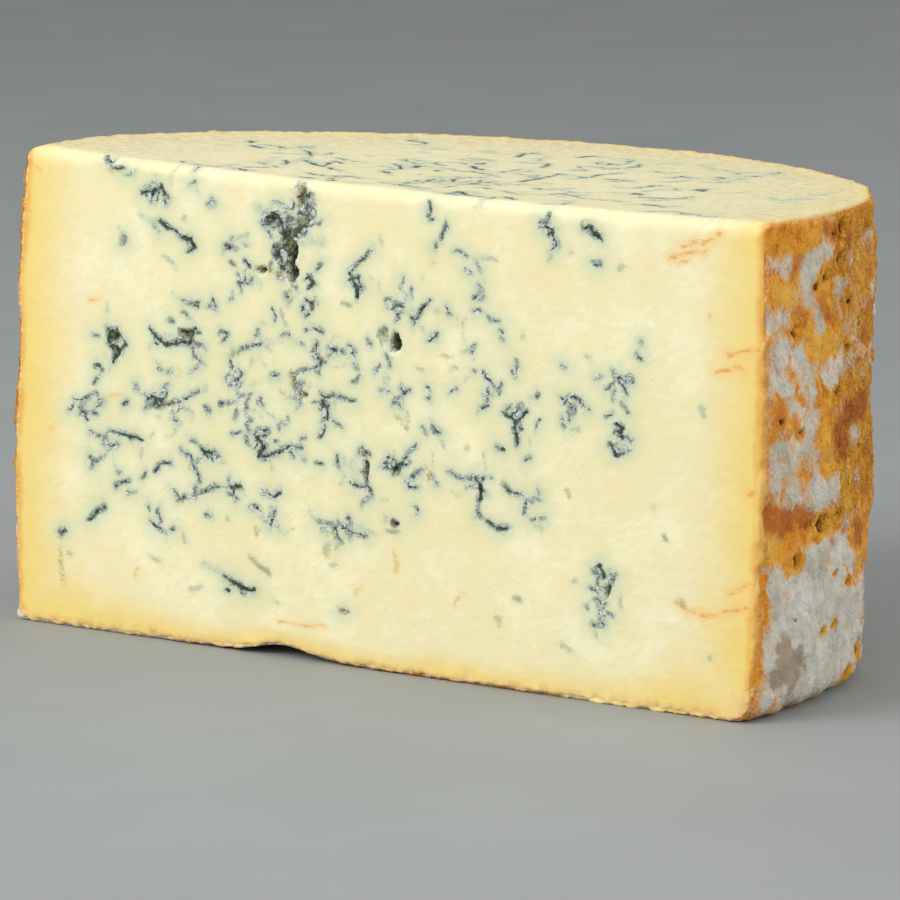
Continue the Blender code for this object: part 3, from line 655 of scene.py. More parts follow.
    def sprinkle(self, count: int, low: tuple[float, float], high: tuple[float, float], length: float, dark: float) -> None:
        """Scatters faint short strokes by the strokes already drawn, thickest in the middle of a box.

        Args:
            count: how many strokes.
            low: the box's lowest corner.
            high: its highest corner.
            length: how long a stroke is on average.
            dark: the share of them that are dark.
        """
        middle = 0.5 * (np.array(low) + np.array(high))
        half = 0.5 * (np.array(high) - np.array(low))
        for _ in range(count):
            place = middle + half * np.clip(self.random.normal(0.0, 0.5, 2), -1.0, 1.0)
            gap = self.read("core", place[:1], place[1:])[0]
            if not self.CLOSE_GAP[0] < gap < self.CLOSE_GAP[1] * self.random.random():
                continue
            heading = self.random.uniform(0.0, math.pi)
            legs = length * self.random.uniform(0.3, 1.0, 2)
            bend = self.random.normal(0.0, 0.5)
            first = legs[0] * np.array([math.cos(heading), math.sin(heading)])
            second = legs[1] * np.array([math.cos(heading + bend), math.sin(heading + bend)])
            kind = Mould.DARK if self.random.random() < dark else Mould.PALE
            self.draw_path(kind, self.random.uniform(0.35, 0.75), (place, place + first, place + first + second))

    def wander(self, count: int, low: tuple[float, float], high: tuple[float, float], legs: int) -> None:
        """Draws long thin veins that wander over a box and fork now and then.

        Args:
            count: how many veins.
            low: the box's lowest corner.
            high: its highest corner.
            legs: how many short legs a vein has.
        """
        for _ in range(count):
            place = self.random.uniform(low, high)
            heading = self.random.uniform(0.0, 2.0 * math.pi)
            for _ in range(legs):
                heading += self.random.normal(0.0, 0.45)
                ahead = place + self.random.uniform(1.2, 3.2) * np.array([math.cos(heading), math.sin(heading)])
                kind = self.random.choice([Mould.DARK, Mould.PALE, Mould.HAZE], p=[0.35, 0.3, 0.35])
                width = self.random.uniform(0.3, 0.65) * (3.2 if kind is Mould.HAZE else 1.0)
                self.draw_path(kind, width, (place, ahead))
                if self.random.random() < 0.25:
                    side = heading + self.random.choice([-1.1, 1.1])
                    fork = place + self.random.uniform(0.8, 2.4) * np.array([math.cos(side), math.sin(side)])
                    self.draw_path(Mould.DARK, 0.45, (place, fork))
                place = ahead

    def draw_pocket(self, pocket: Pocket) -> None:
        """Digs one ragged hole with steep walls."""
        centre = np.array(pocket.centre)
        half = np.array(pocket.half)
        corners = np.stack([centre - half, centre + half])
        window = self._window(corners, self.REACH)
        offset = self.places[window] - centre
        reach = np.linalg.norm(offset / half, axis=-1) - 1.1 * (self.swelling[window] - 0.5)
        self._keep_most("hollow", window, pocket.depth * ramp(reach, 1.2, 0.35))
        inside = (self.POCKET_RIM - reach) * float(half.min())
        outside = np.linalg.norm(offset, axis=-1) * (1.0 - self.POCKET_RIM / np.maximum(reach, self.POCKET_RIM))
        self._keep_least("core", window, np.maximum(inside, outside) - 0.1)

    def read(self, layer: str, across: Array, up: Array) -> Array:
        """A layer's values between the grid's places.

        Args:
            layer: the layer's name.
            across: first coordinates.
            up: second coordinates.

        Returns:
            One value for each place, held at the sheet's border beyond it.
        """
        grid = self.layers[layer]
        spot = (np.column_stack([across, up]) - self.low) / self.STEP
        spot = np.clip(spot, 0.0, self.counts - 1.001)
        base = np.floor(spot).astype(int)
        part = spot - base
        i, j = base[:, 0], base[:, 1]
        left = grid[i, j] * (1.0 - part[:, 1]) + grid[i, j + 1] * part[:, 1]
        right = grid[i + 1, j] * (1.0 - part[:, 1]) + grid[i + 1, j + 1] * part[:, 1]
        return left * (1.0 - part[:, 0]) + right * part[:, 0]


@dataclass(frozen=True)
class BlockShape:
    """The block's sizes in millimetres: first as a true half drum, then how it settles out of true.

    The outline is measured along itself, anticlockwise from the back: half of the rind, the left corner, the
    cut, the right corner, and the other half of the rind. The side's rise runs from the underside to the top.
    """

    radius: float = 100.0
    top: float = 106.1
    front: float = 9.6
    corner: float = 0.9
    corner_run: float = 3.0
    front_top_round: float = 2.3
    rind_top_round: float = 1.1
    left_top_round: float = 3.2
    front_foot_round: float = 1.5
    rind_foot_round: float = 5.0
    foot_band: float = 5.0
    top_band: float = 4.0
    axis_from_left: float = 101.7
    top_fall_right: float = 0.018
    top_fall_back: float = 0.012
    top_sag: float = 1.3
    lean: float = 0.025
    barrel: float = 1.0
    slump_left: float = 1.9
    slump_right: float = -0.6
    roll_depth: float = 0.7
    lump_depth: float = 0.5
    arch_middle: float = -24.5
    arch_width: float = 9.5
    arch_reach: float = 15.0
    arch_rise: float = 2.2
    arch_swell: float = 0.3
    arch_swell_width: float = 34.0
    arch_blend: float = 9.0

    @property
    def half_arc(self) -> float:
        """Length of half of the rind."""
        return self.radius * (0.5 * math.pi + math.asin(self.front / self.radius))

    @property
    def front_run(self) -> float:
        """Length of the cut's straight part."""
        return 2.0 * math.sqrt((self.radius - self.corner) ** 2 - (self.front - self.corner) ** 2)

    @property
    def stops(self) -> list[float]:
        """Where each stretch of the outline ends."""
        runs = [self.half_arc, self.corner_run, self.front_run, self.corner_run, self.half_arc]
        return [float(stop) for stop in np.cumsum(runs)]

    def frontness(self, along: Array) -> Array:
        """1 on the cut, 0 on the rind, and between them round the corners."""
        stops = self.stops
        return ramp(along, stops[0], stops[1]) * ramp(along, stops[3], stops[2])

    def outline(self, along: Array, front_inset: Array, rind_inset: Array) -> tuple[Array, Array]:
        """Places on the outline, drawn in by some inset.

        Args:
            along: distances along the outline.
            front_inset: how far the cut is drawn in.
            rind_inset: how far the rind is drawn in.

        Returns:
            The places' X and Y.
        """
        flat = self.front - front_inset
        drum = self.radius - rind_inset
        reach = np.sqrt((drum - self.corner) ** 2 - (flat - self.corner) ** 2)
        turn = np.arctan2(self.corner - flat, reach)
        starts = [0.0] + self.stops
        shares = [np.clip((along - a) / (b - a), 0.0, 1.0) for a, b in zip(starts, starts[1:])]
        left_arc = 0.5 * math.pi + shares[0] * (0.5 * math.pi - turn)
        left_corner = math.pi - turn + shares[1] * (0.5 * math.pi + turn)
        right_corner = 1.5 * math.pi + shares[3] * (0.5 * math.pi + turn)
        right_arc = turn + shares[4] * (0.5 * math.pi - turn)
        stretch = [along <= stop for stop in self.stops]
        x = np.select(stretch, [
            drum * np.cos(left_arc),
            self.corner * np.cos(left_corner) - reach,
            reach * (2.0 * shares[2] - 1.0),
            self.corner * np.cos(right_corner) + reach,
            drum * np.cos(right_arc),
        ], default=0.0)
        y = np.select(stretch, [
            drum * np.sin(left_arc),
            self.corner * np.sin(left_corner) + self.corner - flat,
            -flat,
            self.corner * np.sin(right_corner) + self.corner - flat,
            drum * np.sin(right_arc),
        ], default=self.radius)
        return x, y

    def side(self, along: Array, rise: Array) -> Array:
        """Places on the block's side, rounded over at its foot and its top.

        Args:
            along: distances along the outline.
            rise: distances up the side.

        Returns:
            The places, one a row.
        """
        cut = self.frontness(along)
        worn = np.exp(-(((along - self.stops[0]) / 14.0) ** 2))
        rind_top = self.rind_top_round + (self.left_top_round - self.rind_top_round) * worn
        top_round = rind_top + (self.front_top_round - rind_top) * cut
        foot_round = self.rind_foot_round + (self.front_foot_round - self.rind_foot_round) * cut
        foot = 0.5 * math.pi * np.clip(1.0 - rise / self.foot_band, 0.0, 1.0)
        head_start = self.top - self.top_band
        head = 0.5 * math.pi * np.clip((rise - head_start) / self.top_band, 0.0, 1.0)
        share = np.clip((rise - self.foot_band) / (head_start - self.foot_band), 0.0, 1.0)
        front_inset = self.front_foot_round * (1.0 - np.cos(foot)) + self.front_top_round * (1.0 - np.cos(head))
        rind_inset = self.rind_foot_round * (1.0 - np.cos(foot)) + rind_top * (1.0 - np.cos(head))
        x, y = self.outline(along, front_inset, rind_inset)
        straight = foot_round + share * (self.top - top_round - foot_round)
        z = straight - foot_round * np.sin(foot) + top_round * np.sin(head)
        return np.column_stack([x, y, z])

    def skin_depth(self, points: Array) -> Array:
        """How far places lie under the whole wheel's outer surface."""
        inward = self.radius - np.hypot(points[:, 0], points[:, 1])
        upward = points[:, 2]
        near = self.rind_foot_round
        rounded = near - np.hypot(near - inward, near - upward)
        return np.where((inward < near) & (upward < near), rounded, np.minimum(inward, upward))

    def raise_arch(self, points: Array) -> Array:
        """Lifts the foot of the cut over a low arch."""
        x, y, z = points.T
        behind = y + self.front
        rise = self.arch_rise * np.exp(-(((x - self.arch_middle) / self.arch_width) ** 2))
        swell = self.arch_swell * np.exp(-(((x - self.arch_middle) / self.arch_swell_width) ** 2))
        lift = (rise + swell) * np.exp(-((behind / self.arch_reach) ** 2))
        fade = np.clip(1.0 - z / self.arch_blend, 0.0, 1.0)
        return np.column_stack([x, y, z + lift * fade])

    def settle(self, points: Array) -> Array:
        """Moves places of the true half drum to their places on the uneven one, as the solid does."""
        x, y, z = points.T
        level = z / self.top
        angle = np.arctan2(y, x)
        height = np.minimum(level, 1.0)
        toward_left = 0.5 - 0.5 * np.cos(angle)
        slump = (self.slump_right + (self.slump_left - self.slump_right) * toward_left) * (1.0 - height)
        roll = self.roll_depth * np.sin(3.0 * angle + 2.2 * height + 0.6) * np.sin(angle)
        lump = self.lump_depth * np.sin(13.0 * angle + 1.0) * np.sin(14.0 * height + 4.0 * angle)
        growth = 1.0 + (self.barrel * np.sin(math.pi * height) + slump + roll + lump) / self.radius
        sag = self.top_sag * (1.0 - np.minimum((x / self.radius) ** 2, 1.0))
        drop = self.top_fall_right * x + self.top_fall_back * y + sag
        settled_y = (y + self.front) * growth - self.front
        return np.column_stack([x * growth + self.lean * z, settled_y, z - level * drop])

    def to_frame(self, points: Array) -> Array:
        """Turns places in the wheel's frame to metres in the part's frame."""
        low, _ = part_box(CHEESE_NODE)
        axis = np.array([low.x / MM + self.axis_from_left, low.y / MM + self.front, low.z / MM])
        return (points + axis) * MM


@dataclass(frozen=True)
class Pit:
    """A hole in the rind: degrees round the wheel, height, radius and depth in millimetres."""

    degrees: float
    height: float
    radius: float
    depth: float


@dataclass(frozen=True)
class Lump:
    """A swelling of the rind, or a dent if it is negative: degrees round, height, reach and rise."""

    degrees: float
    height: float
    reach: float
    rise: float


NEAR_PITS = (
    Pit(0.8, 82.5, 1.9, 2.2), Pit(6.5, 67.3, 2.0, 3.2), Pit(11.0, 67.5, 2.0, 1.8), Pit(5.3, 91.4, 1.4, 1.2),
    Pit(8.5, 92.6, 2.0, 1.8), Pit(12.0, 96.2, 1.6, 1.6), Pit(12.6, 101.6, 1.9, 2.0), Pit(10.2, 101.8, 1.2, 1.2),
    Pit(2.6, 33.2, 1.8, 2.2), Pit(8.0, 40.0, 1.9, 2.4), Pit(20.0, 52.6, 1.8, 1.6), Pit(16.4, 53.2, 1.3, 1.0),
    Pit(20.0, 3.4, 2.3, 1.4), Pit(25.0, 7.0, 3.0, 1.8), Pit(10.0, 16.2, 1.0, 1.2), Pit(13.6, 16.4, 1.1, 1.2),
    Pit(13.4, 76.8, 0.9, 1.2), Pit(15.0, 86.6, 1.2, 1.0), Pit(17.6, 80.4, 0.9, 1.0), Pit(1.8, 61.0, 0.7, 0.9),
    Pit(12.6, 41.4, 1.3, 1.2), Pit(2.2, 20.6, 0.6, 0.6), Pit(23.0, 87.6, 1.6, 1.2), Pit(16.0, 25.2, 0.9, 1.0),
    Pit(9.4, 30.4, 0.9, 0.9), Pit(12.4, 28.0, 0.8, 0.8), Pit(22.0, 71.0, 1.8, 1.4), Pit(27.0, 46.0, 2.0, 1.5),
    Pit(6.0, 70.4, 1.1, 1.6),
    Pit(4.8, 40.0, 1.3, 1.2), Pit(8.2, 38.6, 1.2, 1.6), Pit(17.4, 81.6, 1.0, 1.2), Pit(19.0, 67.0, 1.6, 1.2),
    Pit(16.0, 62.4, 1.1, 0.8), Pit(12.4, 41.0, 1.7, 1.4), Pit(-2.6, 64.0, 0.9, 0.7), Pit(13.4, 98.6, 1.3, 1.4),
)

LUMPS = (
    Lump(36.0, 44.0, 5.0, 0.9), Lump(36.0, 64.0, 6.0, -0.7), Lump(36.0, 24.0, 10.0, -0.5), Lump(34.0, 84.0, 5.0, 0.5),
    Lump(33.0, 98.0, 4.0, 0.4), Lump(9.0, 92.0, 7.0, -0.6), Lump(11.0, 47.5, 5.0, 0.5), Lump(10.0, 73.0, 4.0, 0.4),
)


class Rind:
    """What the wheel's skin carries: patches of mould, bare colour, pits and rough bark."""

    PIT_LIP = 0.45
    HOLE_REACH = 1.1
    RING_REACH = 1.9
    FAR_PIT_COUNT = 46
    KINDS = (Mould.BLOOM, Mould.BARE, Mould.TAWNY, Mould.UMBER, Mould.TAUPE)

    def __init__(self, shape: BlockShape, seed: int) -> None:
        """The rind of a block.

        Args:
            shape: the block's sizes.
            seed: picks its roughness and its far pits.
        """
        self.shape = shape
        self.seed = seed
        self.sheet = MarkSheet((-13.0, -2.0), (66.0, 108.0), seed)
        self.sheet.draw_groups(RIND_MARKS)
        random = np.random.default_rng(seed)
        far = [
            Pit(random.uniform(30.0, 184.0), random.uniform(5.0, 101.0), size, size * random.uniform(0.7, 1.2))
            for size in random.uniform(0.7, 2.3, self.FAR_PIT_COUNT)
        ]
        self.pits = list(NEAR_PITS) + far

    def unroll(self, points: Array) -> tuple[Array, Array]:
        """Distance round the wheel and height of each point, stirred a little by noise."""
        angle = np.arctan2(points[:, 1], points[:, 0])
        angle = np.where(angle < -0.5 * math.pi, angle + 2.0 * math.pi, angle)
        stir_round = 0.7 * ValueNoise(4.0, self.seed + 1, 2).at(points)
        stir_up = 0.7 * ValueNoise(4.0, self.seed + 2, 2).at(points)
        return self.shape.radius * angle + stir_round, points[:, 2] + stir_up

    def _far_share(self, points: Array, size: float, turn: int, low: float, high: float) -> Array:
        """Patches that come by chance, for the part of the rind that no marks are drawn on."""
        return ramp(0.5 + 0.5 * ValueNoise(size, self.seed + turn, 3).at(points), low, high)

    def stains(self, points: Array) -> dict[str, Array]:
        """Every attribute that the rind's colours are mixed by."""
        around, height = self.unroll(points)
        far = ramp(around, 50.0, 58.0)
        drawn = {kind: self.sheet.read(kind.value, around, height) for kind in self.KINDS}
        chance = {
            Mould.BLOOM: np.maximum(self._far_share(points, 14.0, 3, 0.5, 0.8), ramp(height, 46.0, 26.0)),
            Mould.BARE: self._far_share(points, 11.0, 4, 0.55, 0.85),
            Mould.TAWNY: self._far_share(points, 10.0, 5, 0.55, 0.8),
            Mould.UMBER: self._far_share(points, 9.0, 6, 0.6, 0.85),
            Mould.TAUPE: self._far_share(points, 15.0, 7, 0.75, 0.95),
        }
        mixed = {kind: drawn[kind] + (chance[kind] - drawn[kind]) * far for kind in self.KINDS}
        ring = self.pit_shade(points, self.RING_REACH)
        dry = ramp(around, 12.0, 24.0) * ramp(height, 30.0, 42.0)
        cover = 0.29 - 0.27 * dry + 0.55 * mixed[Mould.BLOOM] - 0.5 * mixed[Mould.BARE] - 0.7 * ring
        stains = {kind.value: mixed[kind] for kind in (Mould.TAWNY, Mould.UMBER, Mould.TAUPE)}
        stains[Mould.TAWNY.value] = np.maximum(stains[Mould.TAWNY.value], 0.8 * ring)
        return {**stains, "bloom": cover, "dry": dry, "pit": self.pit_shade(points, self.HOLE_REACH)}

    def _on_rind(self, degrees: float, height: float) -> Array:
        """The place on the wheel at some degrees round and some height."""
        angle = math.radians(degrees)
        return np.array([self.shape.radius * math.cos(angle), self.shape.radius * math.sin(angle), height])

    def _each_pit(self, points: Array) -> list[tuple[Pit, Array, Array]]:
        """Every pit with the points near it and their distances in radii."""
        found = []
        for pit in self.pits:
            centre = self._on_rind(pit.degrees, pit.height)
            offset = np.linalg.norm(points - centre, axis=1) / pit.radius
            near = np.nonzero(offset < 2.4)[0]
            ragged = 0.36 * ValueNoise(1.6, self.seed + 6, 3).at(points[near])
            found.append((pit, near, offset[near] + ragged))
        return found

    def pit_shade(self, points: Array, reach: float) -> Array:
        """How deep inside a pit each point is, from 0 at that many radii out to 1 at its middle."""
        shade = np.zeros(len(points))
        for _, near, offset in self._each_pit(points):
            shade[near] = np.maximum(shade[near], ramp(offset, reach, 0.35 * reach))
        return shade

    def relief(self, points: Array) -> Array:
        """How far the rind stands out at each point: bark, blisters, pits and their lips."""
        tall = points * np.array([1.0, 1.0, 0.6])
        broad = 0.55 * ValueNoise(8.0, self.seed + 7, 2).at(points)
        bark = 1.2 * (0.4 - np.abs(ValueNoise(4.2, self.seed + 8, 3).at(tall)))
        grit = 0.26 * ValueNoise(1.3, self.seed + 9, 2).at(points)
        height = broad + bark + grit
        for lump in LUMPS:
            centre = self._on_rind(lump.degrees, lump.height)
            height += lump.rise * np.exp(-((np.linalg.norm(points - centre, axis=1) / lump.reach) ** 2))
        for pit, near, offset in self._each_pit(points):
            lip = self.PIT_LIP * np.exp(-(((offset - 1.35) / 0.32) ** 2))
            height[near] += lip - pit.depth * ramp(offset, 1.15, 0.3)
        return height


@dataclass(frozen=True)
class Island:
    """Where one flat sheet lies on the bake layout: its scale, its corner there, and whether it is turned."""

    pixels_per_mm: float
    corner: tuple[float, float]
    turned: bool = False

    def lay(self, places: Array, size: float) -> Array:
        """Turns millimetres on the sheet to layout coordinates from 0 to 1."""
        turned = places[:, ::-1] * np.array([-1.0, 1.0]) if self.turned else places
        return (turned * self.pixels_per_mm + np.array(self.corner)) / size


class SkinMesh:
    """The block's closed surface as flat sheets of triangles, joined along their borders.

    Triangles are finest where something small is drawn. A step of 0 is the finest and each further step
    doubles the spacing.
    """

    FINEST = 0.4
    STEPS = 4
    BORDER = 0.8
    WANDER = 0.17
    LAYOUT_SIZE = 1024.0
    FRONT_ISLAND = Island(3.7, (8.0, 8.0))
    RIND_ISLAND = Island(2.5, (8.0, 416.0))
    TOP_ISLAND = Island(2.9, (300.0, 730.0))
    BASE_ISLAND = Island(2.0, (980.0, 210.0), turned=True)

    def __init__(self, shape: BlockShape, step_needed: Callable[[Array, str], Array], seed: int) -> None:
        """A skin for a block.

        Args:
            shape: the block's sizes.
            step_needed: gives the coarsest step allowed at some points of a named sheet.
            seed: picks how the points wander off the grid.
        """
        self.shape = shape
        self.step_needed = step_needed
        self.random = np.random.default_rng(seed)
        self.points = np.zeros((0, 3))
        self.triangles = np.zeros((0, 3), int)
        self.layout = np.zeros((0, 3, 2))

    def _scatter(self, low: Array, high: Array, keep: Callable[[Array, Array], Array], sheet: str,
                 lift: Callable[[Array], Array]) -> Array:
        """Points over a flat box, as dense as the surface needs.

        Args:
            low: the box's lowest corner.
            high: its highest corner.
            keep: says which places lie well inside the sheet, given them and their spacing.
            sheet: the sheet's name.
            lift: turns flat places to places in space.

        Returns:
            The kept places.
        """
        counts = np.floor((high - low) / self.FINEST).astype(int)
        first, second = np.meshgrid(*[np.arange(1, count) for count in counts], indexing="ij")
        first, second = first.ravel(), second.ravel()
        step = np.zeros(len(first), int)
        for level in range(1, self.STEPS):
            step[(first % 2**level == 0) & (second % 2**level == 0)] = level
        spacing = self.FINEST * 2.0**step
        shift = self.random.uniform(-self.WANDER, self.WANDER, (len(first), 2)) * spacing[:, None]
        places = low + np.column_stack([first, second]) * self.FINEST + shift
        inside = keep(places, spacing)
        places, step = places[inside], step[inside]
        return places[step >= self.step_needed(lift(places), sheet)]

    @staticmethod
    def _fill(places: Array, border: int) -> Array:
        """Triangles over flat places whose first ones go round the border in order.

        Args:
            places: the flat places.
            border: how many of them lie on the border.

        Returns:
            Corner numbers, one anticlockwise triangle a row.
        """
        edges = [(index, (index + 1) % border) for index in range(border)]
        corners = [Vector(place) for place in places]
        _, _, faces, sources, _, _ = delaunay_2d_cdt(corners, edges, [], 1, 1e-7, True)
        source = np.array([ids[0] for ids in sources])
        found = source[np.array([face for face in faces if len(face) == 3])]
        a, b, c = places[found[:, 0]], places[found[:, 1]], places[found[:, 2]]
        area = (b[:, 0] - a[:, 0]) * (c[:, 1] - a[:, 1]) - (b[:, 1] - a[:, 1]) * (c[:, 0] - a[:, 0])
        found[area < 0.0] = found[area < 0.0][:, ::-1]
        return found[np.abs(area) > 1e-9]

    def _add(self, triangles: Array, layout: Array) -> None:
        """Adds finished triangles and their places on the bake layout."""
        self.triangles = np.concatenate([self.triangles, triangles])
        self.layout = np.concatenate([self.layout, layout])

    def _add_side(self, row: Array, column: Array) -> None:
        """Fills the side, whose two ends meet at the back.

        Args:
            row: places along its foot and its top.
            column: places up the seam.
        """
        length, height = self.shape.stops[-1], self.shape.top
        inner = column[1:-1]
        foot = np.column_stack([row, np.zeros(len(row))])
        right = np.column_stack([np.full(len(inner), length), inner])
        head = np.column_stack([row[::-1], np.full(len(row), height)])
        left = np.column_stack([np.zeros(len(inner)), inner[::-1]])
        border = np.concatenate([foot, right, head, left])

        def keep(places: Array, spacing: Array) -> Array:
            """Which places stand clear of the sheet's border."""
            gap = np.minimum(places, np.array([length, height]) - places).min(axis=1)
            return gap > 0.45 * np.minimum(spacing, 1.2)

        def lift(places: Array) -> Array:
            """Places on the block's side."""
            return self.shape.side(places[:, 0], places[:, 1])

        body = self._scatter(np.zeros(2), np.array([length, height]), keep, "side", lift)
        places = np.concatenate([border, body])
        found = self._fill(places, len(border))

        count, seam = len(row) - 1, len(inner)
        ring = np.arange(count)
        numbers = np.concatenate([
            ring, [0], 2 * count + np.arange(seam), [count], count + ring[::-1], 2 * count + np.arange(seam)[::-1],
            2 * count + seam + np.arange(len(body)),
        ])
        points = np.concatenate([
            lift(np.column_stack([row[:-1], np.zeros(count)])),
            lift(np.column_stack([row[:-1], np.full(count, height)])),
            lift(np.column_stack([np.zeros(seam), inner])),
            lift(body),
        ])
        self.points = points
        self._add(numbers[found], self._lay_side(places, found))

    def _lay_side(self, places: Array, found: Array) -> Array:
        """Lays the cut and the two halves of the rind on the bake layout."""
        stops = self.shape.stops
        corners = places[found]
        middle = corners[:, :, 0].mean(axis=1)
        layout = np.zeros(corners.shape)
        cut = (middle > stops[0]) & (middle < stops[3])
        offsets = {"cut": -stops[0], "right": -stops[3], "left": self.shape.half_arc}
        for name, chosen, island in (
            ("cut", cut, self.FRONT_ISLAND),
            ("right", ~cut & (middle >= stops[3]), self.RIND_ISLAND),
            ("left", ~cut & (middle <= stops[0]), self.RIND_ISLAND),
        ):
            flat = corners[chosen].reshape(-1, 2) + np.array([offsets[name], 0.0])
            layout[chosen] = island.lay(flat, self.LAYOUT_SIZE).reshape(-1, 3, 2)
        return layout

    def _add_cap(self, sheet: str, first: int, count: int, level: float, island: Island, upward: bool) -> None:
        """Fills one end of the block.

        Args:
            sheet: the sheet's name.
            first: number of the first point of its outline.
            count: how many points its outline has.
            level: its height.
            island: where it lies on the bake layout.
            upward: whether it looks up.
        """
        outline = self.points[first:first + count, :2]
        middle = np.array([0.0, 0.5 * (self.shape.radius - self.shape.front)])
        turns = np.unwrap(np.arctan2(*(outline - middle).T[::-1]))
        reaches = np.linalg.norm(outline - middle, axis=1)

        def keep(places: Array, spacing: Array) -> Array:
            """Which places lie inside the outline by a part of their spacing."""
            turn = np.arctan2(*(places - middle).T[::-1])
            turn = turns[0] + np.mod(turn - turns[0], 2.0 * math.pi)
            edge = np.interp(turn, turns, reaches, period=2.0 * math.pi)
            return np.linalg.norm(places - middle, axis=1) < edge - 0.55 * np.minimum(spacing, 1.2)

        def lift(places: Array) -> Array:
            """Places at the end's own level."""
            return np.column_stack([places, np.full(len(places), level)])

        body = self._scatter(outline.min(axis=0), outline.max(axis=0), keep, sheet, lift)
        places = np.concatenate([outline, body])
        found = self._fill(places, count)
        numbers = np.concatenate([first + np.arange(count), len(self.points) + np.arange(len(body))])
        self.points = np.concatenate([self.points, lift(body)])
        layout = island.lay(places[found].reshape(-1, 2), self.LAYOUT_SIZE).reshape(-1, 3, 2)
        if not upward:
            found, layout = found[:, ::-1], layout[:, ::-1]
        self._add(numbers[found], layout)

    def build(self) -> None:
        """Fills the side and both ends."""
        row = np.linspace(0.0, self.shape.stops[-1], int(self.shape.stops[-1] / self.BORDER) + 1)
        column = np.linspace(0.0, self.shape.top, int(self.shape.top / self.BORDER / 2.0) + 1)
        self._add_side(row, column)
        count = len(row) - 1
        self._add_cap("top", count, count, self.shape.top, self.TOP_ISLAND, upward=True)
        self._add_cap("base", 0, count, 0.0, self.BASE_ISLAND, upward=False)

    def normals(self) -> Array:
        """Outward directions at the points, weighted by the triangles round them."""
        corners = self.points[self.triangles]
        face = np.cross(corners[:, 1] - corners[:, 0], corners[:, 2] - corners[:, 0])
        total = np.zeros(self.points.shape)
        for corner in range(3):
            np.add.at(total, self.triangles[:, corner], face)
        return total / np.maximum(np.linalg.norm(total, axis=1, keepdims=True), 1e-12)


class Number:
    """A value in a node tree, so that sums of values can be written as plain expressions."""

    def __init__(self, tree: "ShaderTree", socket: bpy.types.NodeSocket) -> None:
        """Wraps the socket that gives the value."""
        self.tree = tree
        self.socket = socket

    def _math(self, operation: str, first: "Operand", second: "Operand") -> "Number":
        """Adds one Math node."""
        return self.tree.number("ShaderNodeMath", {"operation": operation}, {0: first, 1: second})

    def __add__(self, other: "Operand") -> "Number":
        """self + other."""
        return self._math("ADD", self, other)

    def __radd__(self, other: "Operand") -> "Number":
        """other + self."""
        return self._math("ADD", other, self)

    def __sub__(self, other: "Operand") -> "Number":
        """self - other."""
        return self._math("SUBTRACT", self, other)

    def __rsub__(self, other: "Operand") -> "Number":
        """other - self."""
        return self._math("SUBTRACT", other, self)

    def __mul__(self, other: "Operand") -> "Number":
        """self * other."""
        return self._math("MULTIPLY", self, other)

    def __rmul__(self, other: "Operand") -> "Number":
        """other * self."""
        return self._math("MULTIPLY", other, self)

    def __neg__(self) -> "Number":
        """-self."""
        return self._math("MULTIPLY", self, -1.0)

    def most(self, other: "Operand") -> "Number":
        """The larger of two values."""
        return self._math("MAXIMUM", self, other)

    def size(self) -> "Number":
        """The value without its sign."""
        return self._math("ABSOLUTE", self, 0.0)

    def ramp(self, low: float, high: float) -> "Number":
        """Rises smoothly from 0 at low to 1 at high, or falls if low is the larger."""
        sockets = {"Value": self, "From Min": low, "From Max": high, "To Min": 0.0, "To Max": 1.0}
        return self.tree.number("ShaderNodeMapRange", {"interpolation_type": "SMOOTHSTEP"}, sockets)


Operand = Number | float
Input = Number | bpy.types.NodeSocket | float | Sequence[float]


